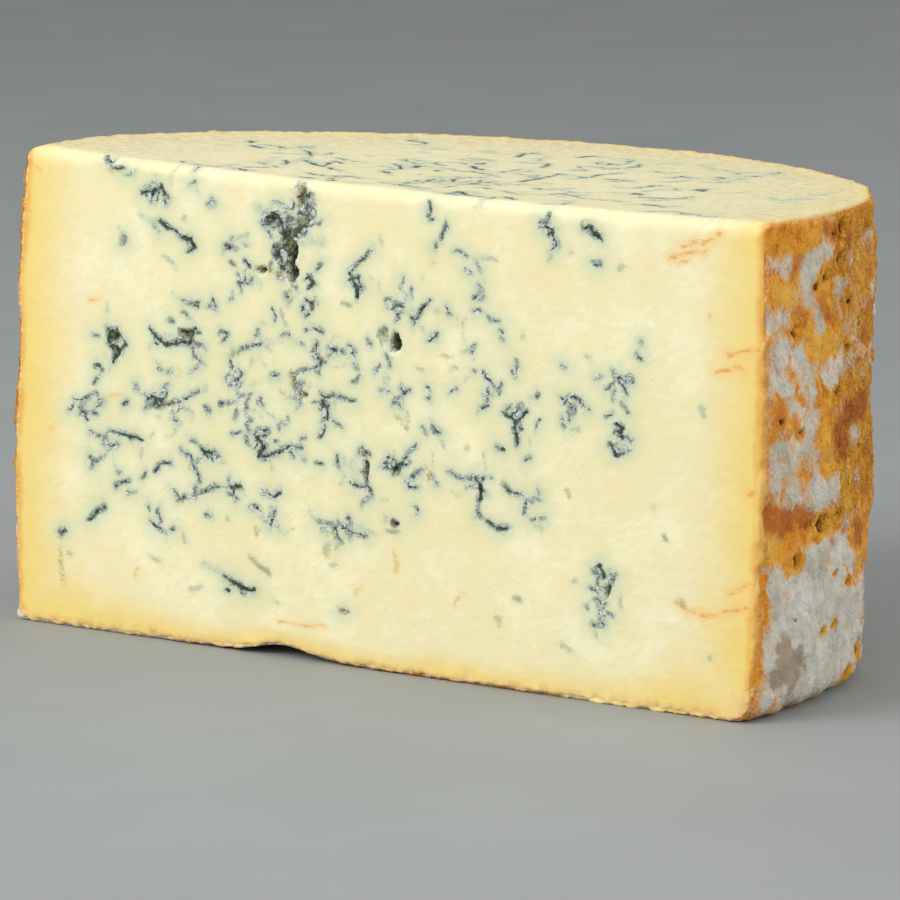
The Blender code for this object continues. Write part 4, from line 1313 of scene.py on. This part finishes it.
class ShaderTree:
    """Builds a material's nodes. Lengths are in millimetres on the part itself."""

    def __init__(self, name: str) -> None:
        """A material with one shader and nothing else."""
        self.material = bpy.data.materials.new(name)
        self.material.use_nodes = True
        self.nodes = self.material.node_tree.nodes
        self.links = self.material.node_tree.links
        self.shader = self.nodes["Principled BSDF"]
        self.places = self.node("ShaderNodeTexCoord", {}, {}, "Object")

    def node(self, kind: str, settings: dict[str, object], inputs: dict[str | int, Input],
             output: str | int = 0) -> bpy.types.NodeSocket:
        """Adds a node.

        Args:
            kind: the node's type.
            settings: its properties, set before its sockets.
            inputs: values or links of its sockets, by name or number.
            output: which of its outputs to return.

        Returns:
            The output socket.
        """
        node = self.nodes.new(kind)
        for name, value in settings.items():
            setattr(node, name, value)
        for name, value in inputs.items():
            self.plug(self._socket(node, name), value)
        return node.outputs[output]

    @staticmethod
    def _socket(node: bpy.types.Node, name: str | int) -> bpy.types.NodeSocket:
        """The node's input of that number, or the shown one of that name."""
        if isinstance(name, int):
            return node.inputs[name]
        return next(socket for socket in node.inputs if socket.name == name and socket.enabled)

    def plug(self, socket: bpy.types.NodeSocket, value: Input) -> None:
        """Links a socket to a value's source, or sets its own value."""
        if isinstance(value, Number):
            self.links.new(value.socket, socket)
        elif isinstance(value, bpy.types.NodeSocket):
            self.links.new(value, socket)
        elif socket.type == "RGBA":
            socket.default_value = (*value, 1.0)
        else:
            socket.default_value = value

    def number(self, kind: str, settings: dict[str, object], inputs: dict[str | int, Input],
               output: str | int = 0) -> Number:
        """Adds a node and wraps its output as a Number."""
        return Number(self, self.node(kind, settings, inputs, output))

    def carried(self, name: str) -> Number:
        """A value that the mesh carries at its points."""
        return self.number("ShaderNodeAttribute", {"attribute_name": name}, {}, "Fac")

    def noise(self, grain: float, detail: float = 2.0, roughness: float = 0.5, stretch: Colour = (1.0, 1.0, 1.0),
              swirl: float = 0.0, turn: float = 0.0) -> Number:
        """Noise about 0, mostly from -1 to 1.

        Args:
            grain: the width of its grains.
            detail: how many finer layers it has.
            roughness: how strong they are.
            stretch: how much longer its grains are along X, Y and Z.
            swirl: how much it is stirred.
            turn: how far the stretching is turned about Y, in degrees.

        Returns:
            The noise.
        """
        scale = [share * grain * MM for share in stretch]
        sockets = {"Vector": self.places, "Scale": scale, "Rotation": (0.0, math.radians(turn), 0.0)}
        places = self.node("ShaderNodeMapping", {"vector_type": "TEXTURE"}, sockets)
        sockets = {"Vector": places, "Scale": 1.0, "Detail": detail, "Roughness": roughness, "Distortion": swirl}
        return 3.4 * (self.number("ShaderNodeTexNoise", {}, sockets) - 0.5)

    def crazing(self, grain: float, stir: float) -> tuple[Number, Number]:
        """A crazed net of cracks with crumbs between them.

        Args:
            grain: how far apart the cracks are.
            stir: how far they stray from straight lines.

        Returns:
            The distance from a crack in millimetres, and a tone from 0 to 1 for each crumb.
        """
        sockets = {"Vector": self.places, "Scale": 1.0 / (grain * MM), "Detail": 2.0}
        stray = self.node("ShaderNodeTexNoise", {}, sockets, "Color")
        middle = self.node("ShaderNodeVectorMath", {"operation": "SUBTRACT"}, {0: stray, 1: (0.5, 0.5, 0.5)})
        shift = self.node("ShaderNodeVectorMath", {"operation": "SCALE"}, {0: middle, "Scale": 4.0 * stir * MM})
        places = self.node("ShaderNodeVectorMath", {"operation": "ADD"}, {0: self.places, 1: shift})
        sockets = {"Vector": places, "Scale": 1.0 / (grain * MM)}
        gap = self.number("ShaderNodeTexVoronoi", {"feature": "DISTANCE_TO_EDGE"}, sockets, "Distance")
        tone = self.number("ShaderNodeTexVoronoi", {"feature": "F1"}, sockets, "Color")
        return grain * gap, tone

    def blend(self, share: Input, first: Input, second: Input, way: str = "MIX") -> bpy.types.NodeSocket:
        """Mixes two colours.

        Args:
            share: how much of the second shows.
            first: the first colour.
            second: the second colour.
            way: the Mix node's blend type.

        Returns:
            The mixed colour.
        """
        settings = {"data_type": "RGBA", "blend_type": way, "clamp_factor": True}
        return self.node("ShaderNodeMix", settings, {"Factor": share, "A": first, "B": second}, 2)


@dataclass(frozen=True)
class PasteFinish:
    """The cheese's inside: cream paste, yellow towards the rind, veined with blue-green mould."""

    cream: Colour = srgb(241, 231, 185)
    pale: Colour = srgb(248, 241, 203)
    warm: Colour = srgb(243, 227, 168)
    # Tan for the top cut: partly the paste's own tone, partly painted shade of its fine smeared relief.
    shade: Colour = srgb(200, 176, 122)
    yellow: Colour = srgb(243, 214, 120)
    edge: Colour = srgb(232, 162, 64)
    flake: Colour = srgb(238, 208, 140)
    crust_line: Colour = srgb(178, 122, 62)
    green_cast: Colour = srgb(216, 221, 182)
    haze: Colour = srgb(184, 200, 174)
    # A highlit and a shaded copy of the pale mould crumbs' colour: painted facet highlight and shade.
    facet_highlight: Colour = srgb(218, 223, 219)
    facet_shade: Colour = srgb(160, 172, 173)
    vein: Colour = srgb(58, 80, 72)
    vein_green: Colour = srgb(64, 88, 42)
    deep: Colour = srgb(20, 28, 18)
    hollow: Colour = srgb(150, 150, 106)
    # Dark olive of the deepest hollows: partly mould, partly painted shade in the recess.
    hollow_mould_and_shade: Colour = srgb(52, 54, 26)
    faint: Colour = srgb(172, 186, 160)
    olive: Colour = srgb(136, 132, 66)
    ochre: Colour = srgb(222, 186, 56)
    ochre_deep: Colour = srgb(160, 128, 52)
    rust: Colour = srgb(244, 200, 120)
    rust_deep: Colour = srgb(228, 150, 66)

    def colour(self, tree: ShaderTree) -> bpy.types.NodeSocket:
        """Adds the paste's colour.

        Args:
            tree: the material's nodes.

        Returns:
            The colour socket.
        """
        depth = tree.carried("depth")
        blotch = tree.noise(13.0, 3.0, 0.55)
        grain = tree.noise(1.7, 3.0, 0.6, (1.8, 1.8, 0.9), turn=-30.0)
        base = tree.blend((blotch + 0.6 * grain).ramp(-0.3, 0.9), self.cream, self.pale)
        base = tree.blend(0.8 * (0.7 * blotch + 0.6 * grain).ramp(-0.1, -0.9), base, self.warm)
        lid = tree.carried("lid")
        streaks = tree.noise(2.0, 4.0, 0.7)
        # Darker tan streaks on the top cut, growing towards the rind: partly the paste's own tone, partly painted shade
        # standing in for the shading of its fine smeared relief.
        lid_tan_and_painted_shade = lid * (streaks + 0.4 * blotch).ramp(-0.5, 1.0) * (0.2 + 0.8 * depth.ramp(70.0, 8.0))
        base = tree.blend(0.8 * lid_tan_and_painted_shade, base, self.shade)
        band = (depth + 3.0 * tree.noise(16.0, 2.0)).ramp(19.0, 0.0)
        base = tree.blend(band * (0.95 - 0.6 * lid), base, self.yellow)
        rim = (depth + 0.8 * tree.noise(9.0, 2.0) + 0.4 * tree.noise(1.6, 3.0)).ramp(2.8, 0.3)
        base = tree.blend(rim * (0.85 - 0.5 * lid), base, self.edge)
        return self._veined(tree, self._crumbled(tree, self._stained(tree, base), depth))

    def _crumbled(self, tree: ShaderTree, base: bpy.types.NodeSocket, depth: Number) -> bpy.types.NodeSocket:
        """Lays pale flakes and a brown line along the cut edge of the crust."""
        chip = tree.noise(1.3, 3.0, 0.65, (1.7, 1.7, 0.7))
        flakes = (tree.carried("crumb") * (1.0 + 0.8 * chip)).ramp(0.55, 1.0)
        base = tree.blend(0.85 * flakes, base, self.flake)
        line = (depth + 0.35 * chip).ramp(0.75, 0.3) * (0.7 - 0.5 * tree.carried("lid"))
        return tree.blend(line, base, self.crust_line)

    def _stained(self, tree: ShaderTree, base: bpy.types.NodeSocket) -> bpy.types.NodeSocket:
        """Lays the rusty stains over the paste."""
        streak = tree.noise(1.1, 4.0, 0.65, (2.2, 2.2, 0.8))
        fibre = tree.noise(0.4, 3.0, 0.6, (0.9, 0.9, 2.6))
        rust = tree.carried("rust")
        base = tree.blend(0.6 * (rust * (1.0 + 0.25 * streak + 0.15 * fibre)).ramp(0.05, 1.1), base, self.rust)
        heart = (rust * (0.97 + 0.2 * streak + 0.08 * fibre)).ramp(0.84, 1.06)
        return tree.blend(0.75 * heart, base, self.rust_deep)

    def _veined(self, tree: ShaderTree, base: bpy.types.NodeSocket) -> bpy.types.NodeSocket:
        """Lays the mould over the paste: a green cast, a grey haze, pale crumbs whose facets carry painted highlight
        and shade, dark threads between them, and hollows that darken with depth, partly as painted shade.
        """
        fine = tree.noise(0.4, 1.0)
        rag = tree.noise(1.1, 2.0, 0.55)
        drift = tree.noise(4.0, 2.0)
        gap, tone = tree.crazing(2.0, 0.6)
        core = tree.carried("core")
        haze = tree.carried("haze")
        cast = (core + 0.9 * rag).ramp(5.5, 0.0) * (1.0 - 0.5 * tree.carried("lid"))
        base = tree.blend(0.65 * cast, base, self.green_cast)
        smoke = haze * (1.0 + 0.6 * rag + 0.3 * fine)
        base = tree.blend(0.9 * smoke.ramp(0.03, 1.1), base, self.haze)
        thread = (tree.carried("pale") + 0.35 * rag + 0.3 * fine).ramp(0.4, -0.3)
        base = tree.blend(0.7 * thread, base, self.faint)
        # Each crumb gets a tone between painted shade and painted highlight, standing in for facets that catch or miss
        # the light.
        crumb = tree.blend((tone + 0.25 * fine).ramp(0.2, 0.7), self.facet_shade, self.facet_highlight)
        solid = (core + 0.35 * rag + 0.15 * fine).ramp(0.45, 0.0)
        base = tree.blend(0.8 * solid, base, crumb)
        ochre = tree.carried("ochre") * (0.9 + 0.9 * rag + 0.4 * fine)
        base = tree.blend(0.55 * ochre.ramp(0.2, 1.1), base, self.ochre)
        olive = tree.carried("olive") * (0.9 + 0.9 * rag + 0.5 * fine)
        base = tree.blend(0.5 * olive.ramp(0.2, 1.2), base, self.olive)
        zone = (core + 0.3 * rag).ramp(0.4, 0.0)
        net = (gap + 0.06 * fine + 0.05 * rag).ramp(0.15, 0.05) * zone * (drift + rag).ramp(0.1, 0.6)
        body = (core + 0.4 * rag + 0.2 * fine).ramp(-0.05, -0.3) * (drift - rag + 0.4 * tone).ramp(-0.1, 0.5)
        line = (tree.carried("ink") + 0.16 * rag + 0.1 * fine).ramp(0.42, 0.2) * (drift + 0.8 * rag).ramp(-1.5, -0.8)
        dark = line.most(0.9 * net).most(0.9 * body)
        mould = tree.blend((rag + 0.6 * drift).ramp(-0.8, 0.5), self.vein, self.vein_green)
        base = tree.blend(dark * (0.95 - 0.1 * tree.carried("lid")), base, mould)
        heart = dark * (fine - 0.5 * rag + 0.3 * drift).ramp(-0.2, 0.8)
        base = tree.blend(0.75 * heart, base, self.deep)
        hollow = tree.carried("hollow")
        walls = tree.blend((tone + 0.3 * rag).ramp(0.45, 0.85), self.hollow, self.facet_highlight)
        walls = tree.blend(0.8 * (gap + 0.1 * fine).ramp(0.2, 0.05), walls, self.vein)
        walls = tree.blend(0.85 * tree.carried("ochre").ramp(0.1, 0.6), walls, self.ochre_deep)
        # Walls darken with the hollow's depth: partly mould, partly painted shade in the recess.
        walls = tree.blend((hollow + 0.5 * rag).ramp(1.2, 2.6), walls, self.hollow_mould_and_shade)
        return tree.blend(0.9 * (hollow + 0.4 * rag).ramp(0.3, 1.3), base, walls)


@dataclass(frozen=True)
class RindFinish:
    """The wheel's skin: orange-brown crust under clouds of grey-white mould."""

    crust: Colour = srgb(255, 184, 58)
    crust_dark: Colour = srgb(216, 118, 26)
    rosy: Colour = srgb(226, 146, 84)
    tawny: Colour = srgb(252, 186, 56)
    straw: Colour = srgb(244, 202, 116)
    umber: Colour = srgb(184, 90, 38)
    # Dark brown for painted shade in the crust's cracks, and for its own dark specks.
    bark: Colour = srgb(140, 72, 18)
    bloom: Colour = srgb(226, 227, 216)
    bloom_shade: Colour = srgb(194, 189, 172)
    taupe: Colour = srgb(156, 138, 116)
    # Dark brown of the rind's pits: partly the crust's own colour, partly painted shade inside the holes.
    pit: Colour = srgb(100, 42, 10)

    def colour(self, tree: ShaderTree) -> bpy.types.NodeSocket:
        """Adds the rind's colour.

        Args:
            tree: the material's nodes.

        Returns:
            The colour socket.
        """
        tall = (1.0, 1.0, 1.6)
        cloud = tree.noise(4.2, 4.0, 0.62, tall, 0.4)
        stain = tree.noise(2.0, 3.0, 0.6, tall, 0.5)
        speck = tree.noise(0.7, 2.0, 0.6)
        broad = tree.noise(9.0, 2.0)
        crust = tree.blend((0.7 * stain + 0.3 * speck).ramp(0.7, -0.9), self.crust, self.crust_dark)
        crust = tree.blend(0.35 * (broad + 0.8 * stain).ramp(0.0, 1.2), crust, self.rosy)
        tawny = tree.carried("tawny") + 0.5 * cloud + 0.3 * speck
        crust = tree.blend(0.8 * tawny.ramp(0.1, 1.2), crust, self.tawny)
        crust = tree.blend(0.6 * (tawny - 0.6 * stain).ramp(0.6, 1.5), crust, self.straw)
        umber = tree.carried("umber") + 0.5 * stain + 0.3 * speck
        crust = tree.blend(0.85 * umber.ramp(0.1, 1.2), crust, self.umber)
        # Thin dark lines along the folds of the stain noise are painted shade in cracks of the crust; the scattered
        # dark specks mixed in with them are the crust's own colour.
        painted_crevice_shade = (stain.size() + 0.1 * speck).ramp(0.12, 0.0) * (cloud - tree.carried("tawny")).ramp(0.0, 0.9)
        crust = tree.blend(0.8 * painted_crevice_shade.most((speck - 0.7 * stain).ramp(0.9, 1.6)), crust, self.bark)
        mould = tree.blend((0.6 * broad + 0.4 * speck - 0.6 * cloud).ramp(-0.9, 0.6), self.bloom_shade, self.bloom)
        mould = tree.blend(0.8 * (tree.carried("taupe") + 0.3 * cloud).ramp(0.2, 1.0), mould, self.taupe)
        cover = (tree.carried("bloom") + 0.36 * cloud + 0.34 * stain + 0.15 * speck).ramp(0.12, 0.85)
        skin = tree.blend(0.95 * cover, crust, mould)
        # Darker towards the middle of each pit: partly the crust's own brown, partly painted shade inside the hole.
        return tree.blend(0.9 * (tree.carried("pit") + 0.2 * speck).ramp(0.2, 0.85), skin, self.pit)


class CheeseMaterial:
    """The whole block's material: paste inside, rind outside, and a relief of its own for each."""

    CRUST_DEPTH = 0.6

    def __init__(self, paste: PasteFinish, rind: RindFinish) -> None:
        """A material from two finishes."""
        self.paste = paste
        self.rind = rind

    def build(self) -> bpy.types.Material:
        """Builds the nodes.

        Returns:
            The material.
        """
        tree = ShaderTree("veined_paste_and_rind")
        ragged = tree.carried("depth") + 0.16 * tree.noise(1.6, 3.0, 0.6)
        skin = ragged.ramp(self.CRUST_DEPTH, 0.3 * self.CRUST_DEPTH)
        colour = tree.blend(skin, self.paste.colour(tree), self.rind.colour(tree))
        tree.plug(tree.shader.inputs["Base Color"], colour)
        gloss = 0.48 + 0.05 * tree.noise(2.5, 3.0) + 0.36 * skin
        tree.plug(tree.shader.inputs["Roughness"], gloss)
        tree.plug(tree.shader.inputs["Normal"], self._relief(tree, skin))
        tree.shader.inputs["Specular IOR Level"].default_value = 0.35
        tree.shader.inputs["Subsurface Weight"].default_value = 0.25
        tree.shader.inputs["Subsurface Radius"].default_value = (0.0022, 0.0015, 0.0007)
        tree.shader.inputs["Subsurface Scale"].default_value = 1.0
        return tree.material

    def _relief(self, tree: ShaderTree, skin: Number) -> bpy.types.NodeSocket:
        """Fine relief: smeared curd on the paste, powder and cracks on the rind."""
        fine = tree.noise(0.4, 3.0, 0.7)
        gap, tone = tree.crazing(2.0, 0.6)
        drag = 0.03 * tree.noise(0.7, 2.0, 0.5, (9.0, 9.0, 0.8), turn=-38.0) * tree.noise(12.0, 1.0).ramp(0.0, 0.8)
        rough = tree.carried("lid") * 0.14 * tree.noise(2.0, 4.0, 0.7)
        smear = 0.03 * tree.noise(3.2, 3.0, 0.55, (1.8, 1.8, 0.7)) + 0.012 * fine + drag + rough
        veined = (tree.carried("core") + 0.3 * fine).ramp(0.5, -0.1)
        crumble = veined * (0.06 * fine + 0.3 * gap.ramp(0.0, 0.35) + 0.5 * tone - 0.5)
        tall = (1.0, 1.0, 1.6)
        stain = tree.noise(2.0, 3.0, 0.6, tall, 0.5)
        wrinkle = tree.noise(1.5, 2.0, 0.5, (1.0, 1.0, 1.8), 0.8).size().ramp(0.5, 0.0)
        bare = tree.carried("bloom").ramp(0.8, 0.1) * (0.25 + tree.carried("dry"))
        bark = 0.3 * stain - 0.7 * bare * wrinkle + 0.1 * tree.noise(0.7, 3.0, 0.7)
        height = (smear + crumble) * (1.0 - skin) + bark * skin
        return tree.node("ShaderNodeBump", {}, {"Strength": 1.0, "Distance": MM, "Height": height})


class CheeseBlock:
    """The half round itself."""

    NAME = "cheese_block"
    FACE_SEED = 21
    TOP_SEED = 34
    RIND_SEED = 8
    MESH_SEED = 3
    WRAP_HEIGHTS = (0.0, 6.0, 18.0, 32.0, 50.0, 70.0, 90.0, 106.0)
    WRAP_WIDTHS = (0.0, 0.6, 2.2, 2.8, 3.0, 2.0, 1.0, 0.3)
    WRAP_FADE = 0.42

    def __init__(self, shape: BlockShape) -> None:
        """A block of that shape with its veins drawn."""
        self.shape = shape
        self.rind = Rind(shape, self.RIND_SEED)
        self.face = self._draw_face()
        self.cap = self._draw_top()

    def _draw_face(self) -> MarkSheet:
        """The upright cut's veins, stains and pockets."""
        sheet = MarkSheet((-102.0, -1.0), (102.0, 108.0), self.FACE_SEED)
        sheet.draw_groups(FACE_VEINS)
        for cluster in FACE_CLUSTERS:
            sheet.draw_cluster(cluster)
        sheet.sprinkle(330, (-96.0, 4.0), (66.0, 110.0), 1.7, 0.55)
        for pocket in FACE_POCKETS:
            sheet.draw_pocket(pocket)
        return sheet

    def _draw_top(self) -> MarkSheet:
        """The veins on the level cut, which thin out towards the rind."""
        sheet = MarkSheet((-102.0, -11.0), (102.0, 101.0), self.TOP_SEED, 1.35)
        sheet.draw_groups(TOP_VEINS)
        sheet.wander(14, (-60.0, -10.0), (60.0, 36.0), 6)
        sheet.wander(8, (-56.0, 34.0), (56.0, 78.0), 5)
        sheet.sprinkle(240, (-88.0, -34.0), (84.0, 88.0), 3.2, 0.4)
        return sheet

    def _near(self, points: Array, sheet: MarkSheet, layer: str) -> tuple[Array, Array]:
        """A layer's values at all points, and which of the points lie on that sheet's face."""
        on_face = points[:, 1] < 2.0 - self.shape.front
        on_top = points[:, 2] > self.shape.top - 2.0
        if sheet is self.face:
            return sheet.read(layer, points[:, 0], points[:, 2]), on_face
        return sheet.read(layer, points[:, 0], points[:, 1]), on_top

    def marks(self, points: Array) -> dict[str, Array]:
        """What the veins and stains of both cuts come to at some points."""
        result = {}
        for layer in CUT_LAYERS:
            distance = layer in DISTANCE_LAYERS
            total = np.full(len(points), MarkSheet.REACH if distance else 0.0)
            for sheet in (self.face, self.cap):
                value, chosen = self._near(points, sheet, layer)
                merged = np.minimum(total, value) if distance else np.maximum(total, value)
                total = np.where(chosen, merged, total)
            result[layer] = total
        return result

    def step_needed(self, points: Array, sheet: str) -> Array:
        """The coarsest mesh step allowed at points of a sheet, finest at veins, holes and pits."""
        if sheet == "base":
            return np.full(len(points), 3)
        marks = self.marks(points)
        step = np.full(len(points), 2)
        step[(marks["core"] < 2.4) | (marks["haze"] > 0.25) | (marks["pale"] < 0.8)] = 1
        step[(marks["core"] < 0.55) | (marks["hollow"] > 0.05) | (marks["olive"] + marks["rust"] + marks["ochre"] > 0.3)] = 0
        angle = np.degrees(np.arctan2(points[:, 1], points[:, 0]))
        skin = self.shape.skin_depth(points) < 1.5
        step[skin & (angle > -20.0) & (angle < 42.0)] = 1
        step[skin & (points[:, 2] < 3.0) & (points[:, 1] < 2.0 - self.shape.front)] = 0
        step[self.rind.pit_shade(points, Rind.HOLE_REACH) * skin > 0.02] = 0
        return step

    def edges(self, points: Array) -> dict[str, Array]:
        """How far each point lies under the rind, and where the rind's cut edge crumbles."""
        depth = self.shape.skin_depth(points)
        level = ramp(points[:, 2], self.shape.top - 3.0, self.shape.top - 0.5)
        angle = np.arctan2(points[:, 1], points[:, 0])
        behind = self.shape.radius * (angle + math.asin(self.shape.front / self.shape.radius))
        wrap = np.interp(points[:, 2], self.WRAP_HEIGHTS, self.WRAP_WIDTHS) + 0.5 * ValueNoise(3.0, 56, 2).at(points)
        near_fold = (np.abs(behind) < 8.0) & (points[:, 0] > 0.0) & (level < 0.5)
        depth = np.where(near_fold, np.maximum(depth, self.WRAP_FADE * (wrap - behind)), depth)
        on_cut = points[:, 1] < 1.5 - self.shape.front
        foot = ramp(points[:, 2], 3.4, 1.4)
        corner = ramp(np.hypot(points[:, 0] - 97.0, points[:, 2] - 4.0), 6.0, 2.0)
        left = 0.8 * ramp(depth, 1.8, 0.8) * ramp(points[:, 0], -80.0, -90.0)
        crumb = np.maximum(np.maximum(foot, corner), left) * on_cut
        spread = 0.5 * level + 1.5 * (1.0 - level) * ramp(np.abs(points[:, 0]), 86.0, 50.0)
        # lid marks the top cut for the material. It keeps about a third of its strength along the front fold, so that
        # the painted shade of the top also dims the fold's highlight there.
        lid = level * (0.35 + 0.65 * ramp(points[:, 1], 1.0 - self.shape.front, 5.0 - self.shape.front))
        return {"depth": depth * (1.0 + spread * ramp(depth, 0.8, 3.0)), "crumb": crumb, "lid": lid}

    def relief(self, points: Array, marks: dict[str, Array]) -> Array:
        """How far each point stands out of the even block."""
        skin = ramp(self.shape.skin_depth(points), 0.9, 0.2)
        under = ramp(points[:, 2], 0.6, 0.05) * (self.shape.skin_depth(points) < 0.3)
        smear = 0.16 * ValueNoise(24.0, 51, 2).at(points) + 0.05 * ValueNoise(5.0, 52, 2).at(points)
        crease = -0.3 * ramp(marks["ink"], 0.6, 0.1) * (0.6 + 0.4 * ValueNoise(2.0, 53).at(points))
        rubble = 0.7 * ValueNoise(1.6, 54, 2).at(points) * ramp(marks["hollow"], 0.2, 1.6)
        chips = ValueNoise(1.8, 55, 2).at(points)
        edges = self.edges(points)
        lip = edges["lid"] * ramp(self.shape.skin_depth(points), 2.6, 0.6) * (0.3 + 0.25 * chips)
        edge = 0.35 * edges["crumb"] * chips + lip
        cut = smear + crease + rubble + edge - marks["hollow"]
        return cut * (1.0 - skin) + self.rind.relief(points) * skin * (1.0 - 0.9 * under)

    def build(self) -> bpy.types.Object:
        """Makes the mesh with everything that it carries.

        Returns:
            The piece.
        """
        skin = SkinMesh(self.shape, self.step_needed, self.MESH_SEED)
        skin.build()
        even = skin.points
        marks = self.marks(even)
        carried = {**marks, **self.rind.stains(even), **self.edges(even)}
        bent = even + skin.normals() * self.relief(even, marks)[:, None]
        bent[:, 2] = np.maximum(bent[:, 2], 0.0)
        places = self.shape.to_frame(self.shape.settle(self.shape.raise_arch(bent)))

        mesh = bpy.data.meshes.new(self.NAME)
        mesh.from_pydata(places.tolist(), [], skin.triangles.tolist())
        mesh.shade_smooth()
        layout = mesh.uv_layers.new(name="OFBake")
        layout.uv.foreach_set("vector", skin.layout.astype(np.float32).ravel())
        for name, values in carried.items():
            attribute = mesh.attributes.new(name, "FLOAT", "POINT")
            attribute.data.foreach_set("value", values.astype(np.float32))
        piece = bpy.data.objects.new(self.NAME, mesh)
        bpy.context.scene.collection.objects.link(piece)
        return piece

    def dress(self, piece: bpy.types.Object) -> None:
        """Gives the piece its material and its place in the part."""
        piece.data.materials.append(CheeseMaterial(PasteFinish(), RindFinish()).build())
        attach(piece, BODY)
        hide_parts(CHEESE_NODE)


@dataclass(frozen=True)
class Softbox:
    """A soft lamp: the direction that it shines from, its distance, its side and its power."""

    name: str
    azimuth: float
    elevation: float
    distance: float
    side: float
    watts: float


@dataclass(frozen=True)
class Studio:
    """A pale sweep, soft lamps and the camera. Lengths are in metres."""

    azimuth: float = 37.0
    elevation: float = 8.9
    distance: float = 1.332
    lens: float = 244.0
    sensor: float = 36.0
    aim: tuple[float, float, float] = (0.0, 0.02, 0.065)
    aim_right: float = -0.000638
    aim_up: float = -0.02024
    floor_half: float = 3.0
    floor_depth: float = 2.6
    sweep_radius: float = 0.9
    sweep_steps: int = 16
    wall_height: float = 2.4
    floor_colour: Colour = srgb(150, 154, 153)
    sky: float = 0.56
    lamps: tuple[Softbox, ...] = (
        Softbox("key_lamp", -22.0, 33.0, 1.6, 1.1, 18.1),
        Softbox("top_lamp", 20.0, 78.0, 1.7, 1.4, 3.6),
        Softbox("fill_lamp", 104.0, 24.0, 1.8, 1.2, 9.0),
    )

    @staticmethod
    def direction(azimuth: float, elevation: float) -> Vector:
        """Towards an azimuth, measured from the front towards the right, and an elevation, in degrees."""
        turn, rise = math.radians(azimuth), math.radians(elevation)
        return Vector((math.sin(turn) * math.cos(rise), -math.cos(turn) * math.cos(rise), math.sin(rise)))

    def wheel_axis(self) -> Vector:
        """Where the wheel's axis meets the floor, in the part's frame."""
        x, y, z = BlockShape().to_frame(np.zeros((1, 3)))[0]
        return Vector((x, y, z))

    def build_floor(self) -> bpy.types.Object:
        """A floor that curves up into a wall far behind."""
        profile = [(-self.floor_depth, 0.0)]
        for step in range(self.sweep_steps + 1):
            turn = 0.5 * math.pi * step / self.sweep_steps
            behind = self.floor_depth + self.sweep_radius * math.sin(turn)
            profile.append((behind, self.sweep_radius * (1.0 - math.cos(turn))))
        profile.append((self.floor_depth + self.sweep_radius, self.wall_height))
        verts = [(side * self.floor_half, y, z) for y, z in profile for side in (-1.0, 1.0)]
        faces = [(2 * i, 2 * i + 1, 2 * i + 3, 2 * i + 2) for i in range(len(profile) - 1)]
        mesh = bpy.data.meshes.new("studio_floor")
        mesh.from_pydata(verts, [], faces)
        mesh.shade_smooth()
        floor = bpy.data.objects.new("studio_floor", mesh)
        floor.rotation_euler.z = math.radians(self.azimuth)
        bpy.context.scene.collection.objects.link(floor)
        tree = ShaderTree("studio_grey")
        tone = tree.blend(tree.noise(60.0, 3.0).ramp(-0.5, 0.5), self.floor_colour, srgb(153, 157, 156))
        tree.plug(tree.shader.inputs["Base Color"], tone)
        tree.shader.inputs["Roughness"].default_value = 0.7
        mesh.materials.append(tree.material)
        return floor

    def hang_lamps(self) -> None:
        """Hangs the soft lamps round the block, all aimed at it."""
        target = self.wheel_axis() + Vector(self.aim)
        for lamp in self.lamps:
            data = bpy.data.lights.new(lamp.name, "AREA")
            data.shape = "DISK"
            data.size = lamp.side
            data.energy = lamp.watts
            toward = self.direction(lamp.azimuth, lamp.elevation)
            light = bpy.data.objects.new(lamp.name, data)
            light.location = target + toward * lamp.distance
            light.rotation_euler = toward.to_track_quat("Z", "Y").to_euler()
            bpy.context.scene.collection.objects.link(light)

    def light_sky(self) -> None:
        """An even white sky."""
        world = bpy.data.worlds.new("studio_sky")
        world.use_nodes = True
        background = world.node_tree.nodes["Background"]
        background.inputs["Color"].default_value = (1.0, 1.0, 1.0, 1.0)
        background.inputs["Strength"].default_value = self.sky
        bpy.context.scene.world = world
        bpy.context.scene.view_settings.view_transform = "Standard"

    def set_camera(self) -> None:
        """A long lens, level with the block's middle and a little above it."""
        back = self.direction(self.azimuth, self.elevation)
        turn = back.to_track_quat("Z", "Y")
        right = turn @ Vector((1.0, 0.0, 0.0))
        up = turn @ Vector((0.0, 1.0, 0.0))
        data = bpy.data.cameras.new("camera")
        data.lens = self.lens
        data.sensor_width = self.sensor
        camera = bpy.data.objects.new("camera", data)
        target = self.wheel_axis() + Vector(self.aim) + right * self.aim_right + up * self.aim_up
        camera.location = target + back * self.distance
        camera.rotation_euler = turn.to_euler()
        bpy.context.scene.collection.objects.link(camera)
        bpy.context.scene.camera = camera


def main() -> None:
    """Builds the studio and the block, and reports each piece."""
    logging.basicConfig(level=logging.INFO, format="%(message)s")
    studio = Studio()
    studio.build_floor()
    studio.hang_lamps()
    studio.light_sky()
    studio.set_camera()
    block = CheeseBlock(BlockShape())
    piece = block.build()
    block.dress(piece)
    logging.info("%s: %d triangles", piece.name, len(piece.data.polygons))


if __name__ == "__main__":
    main()
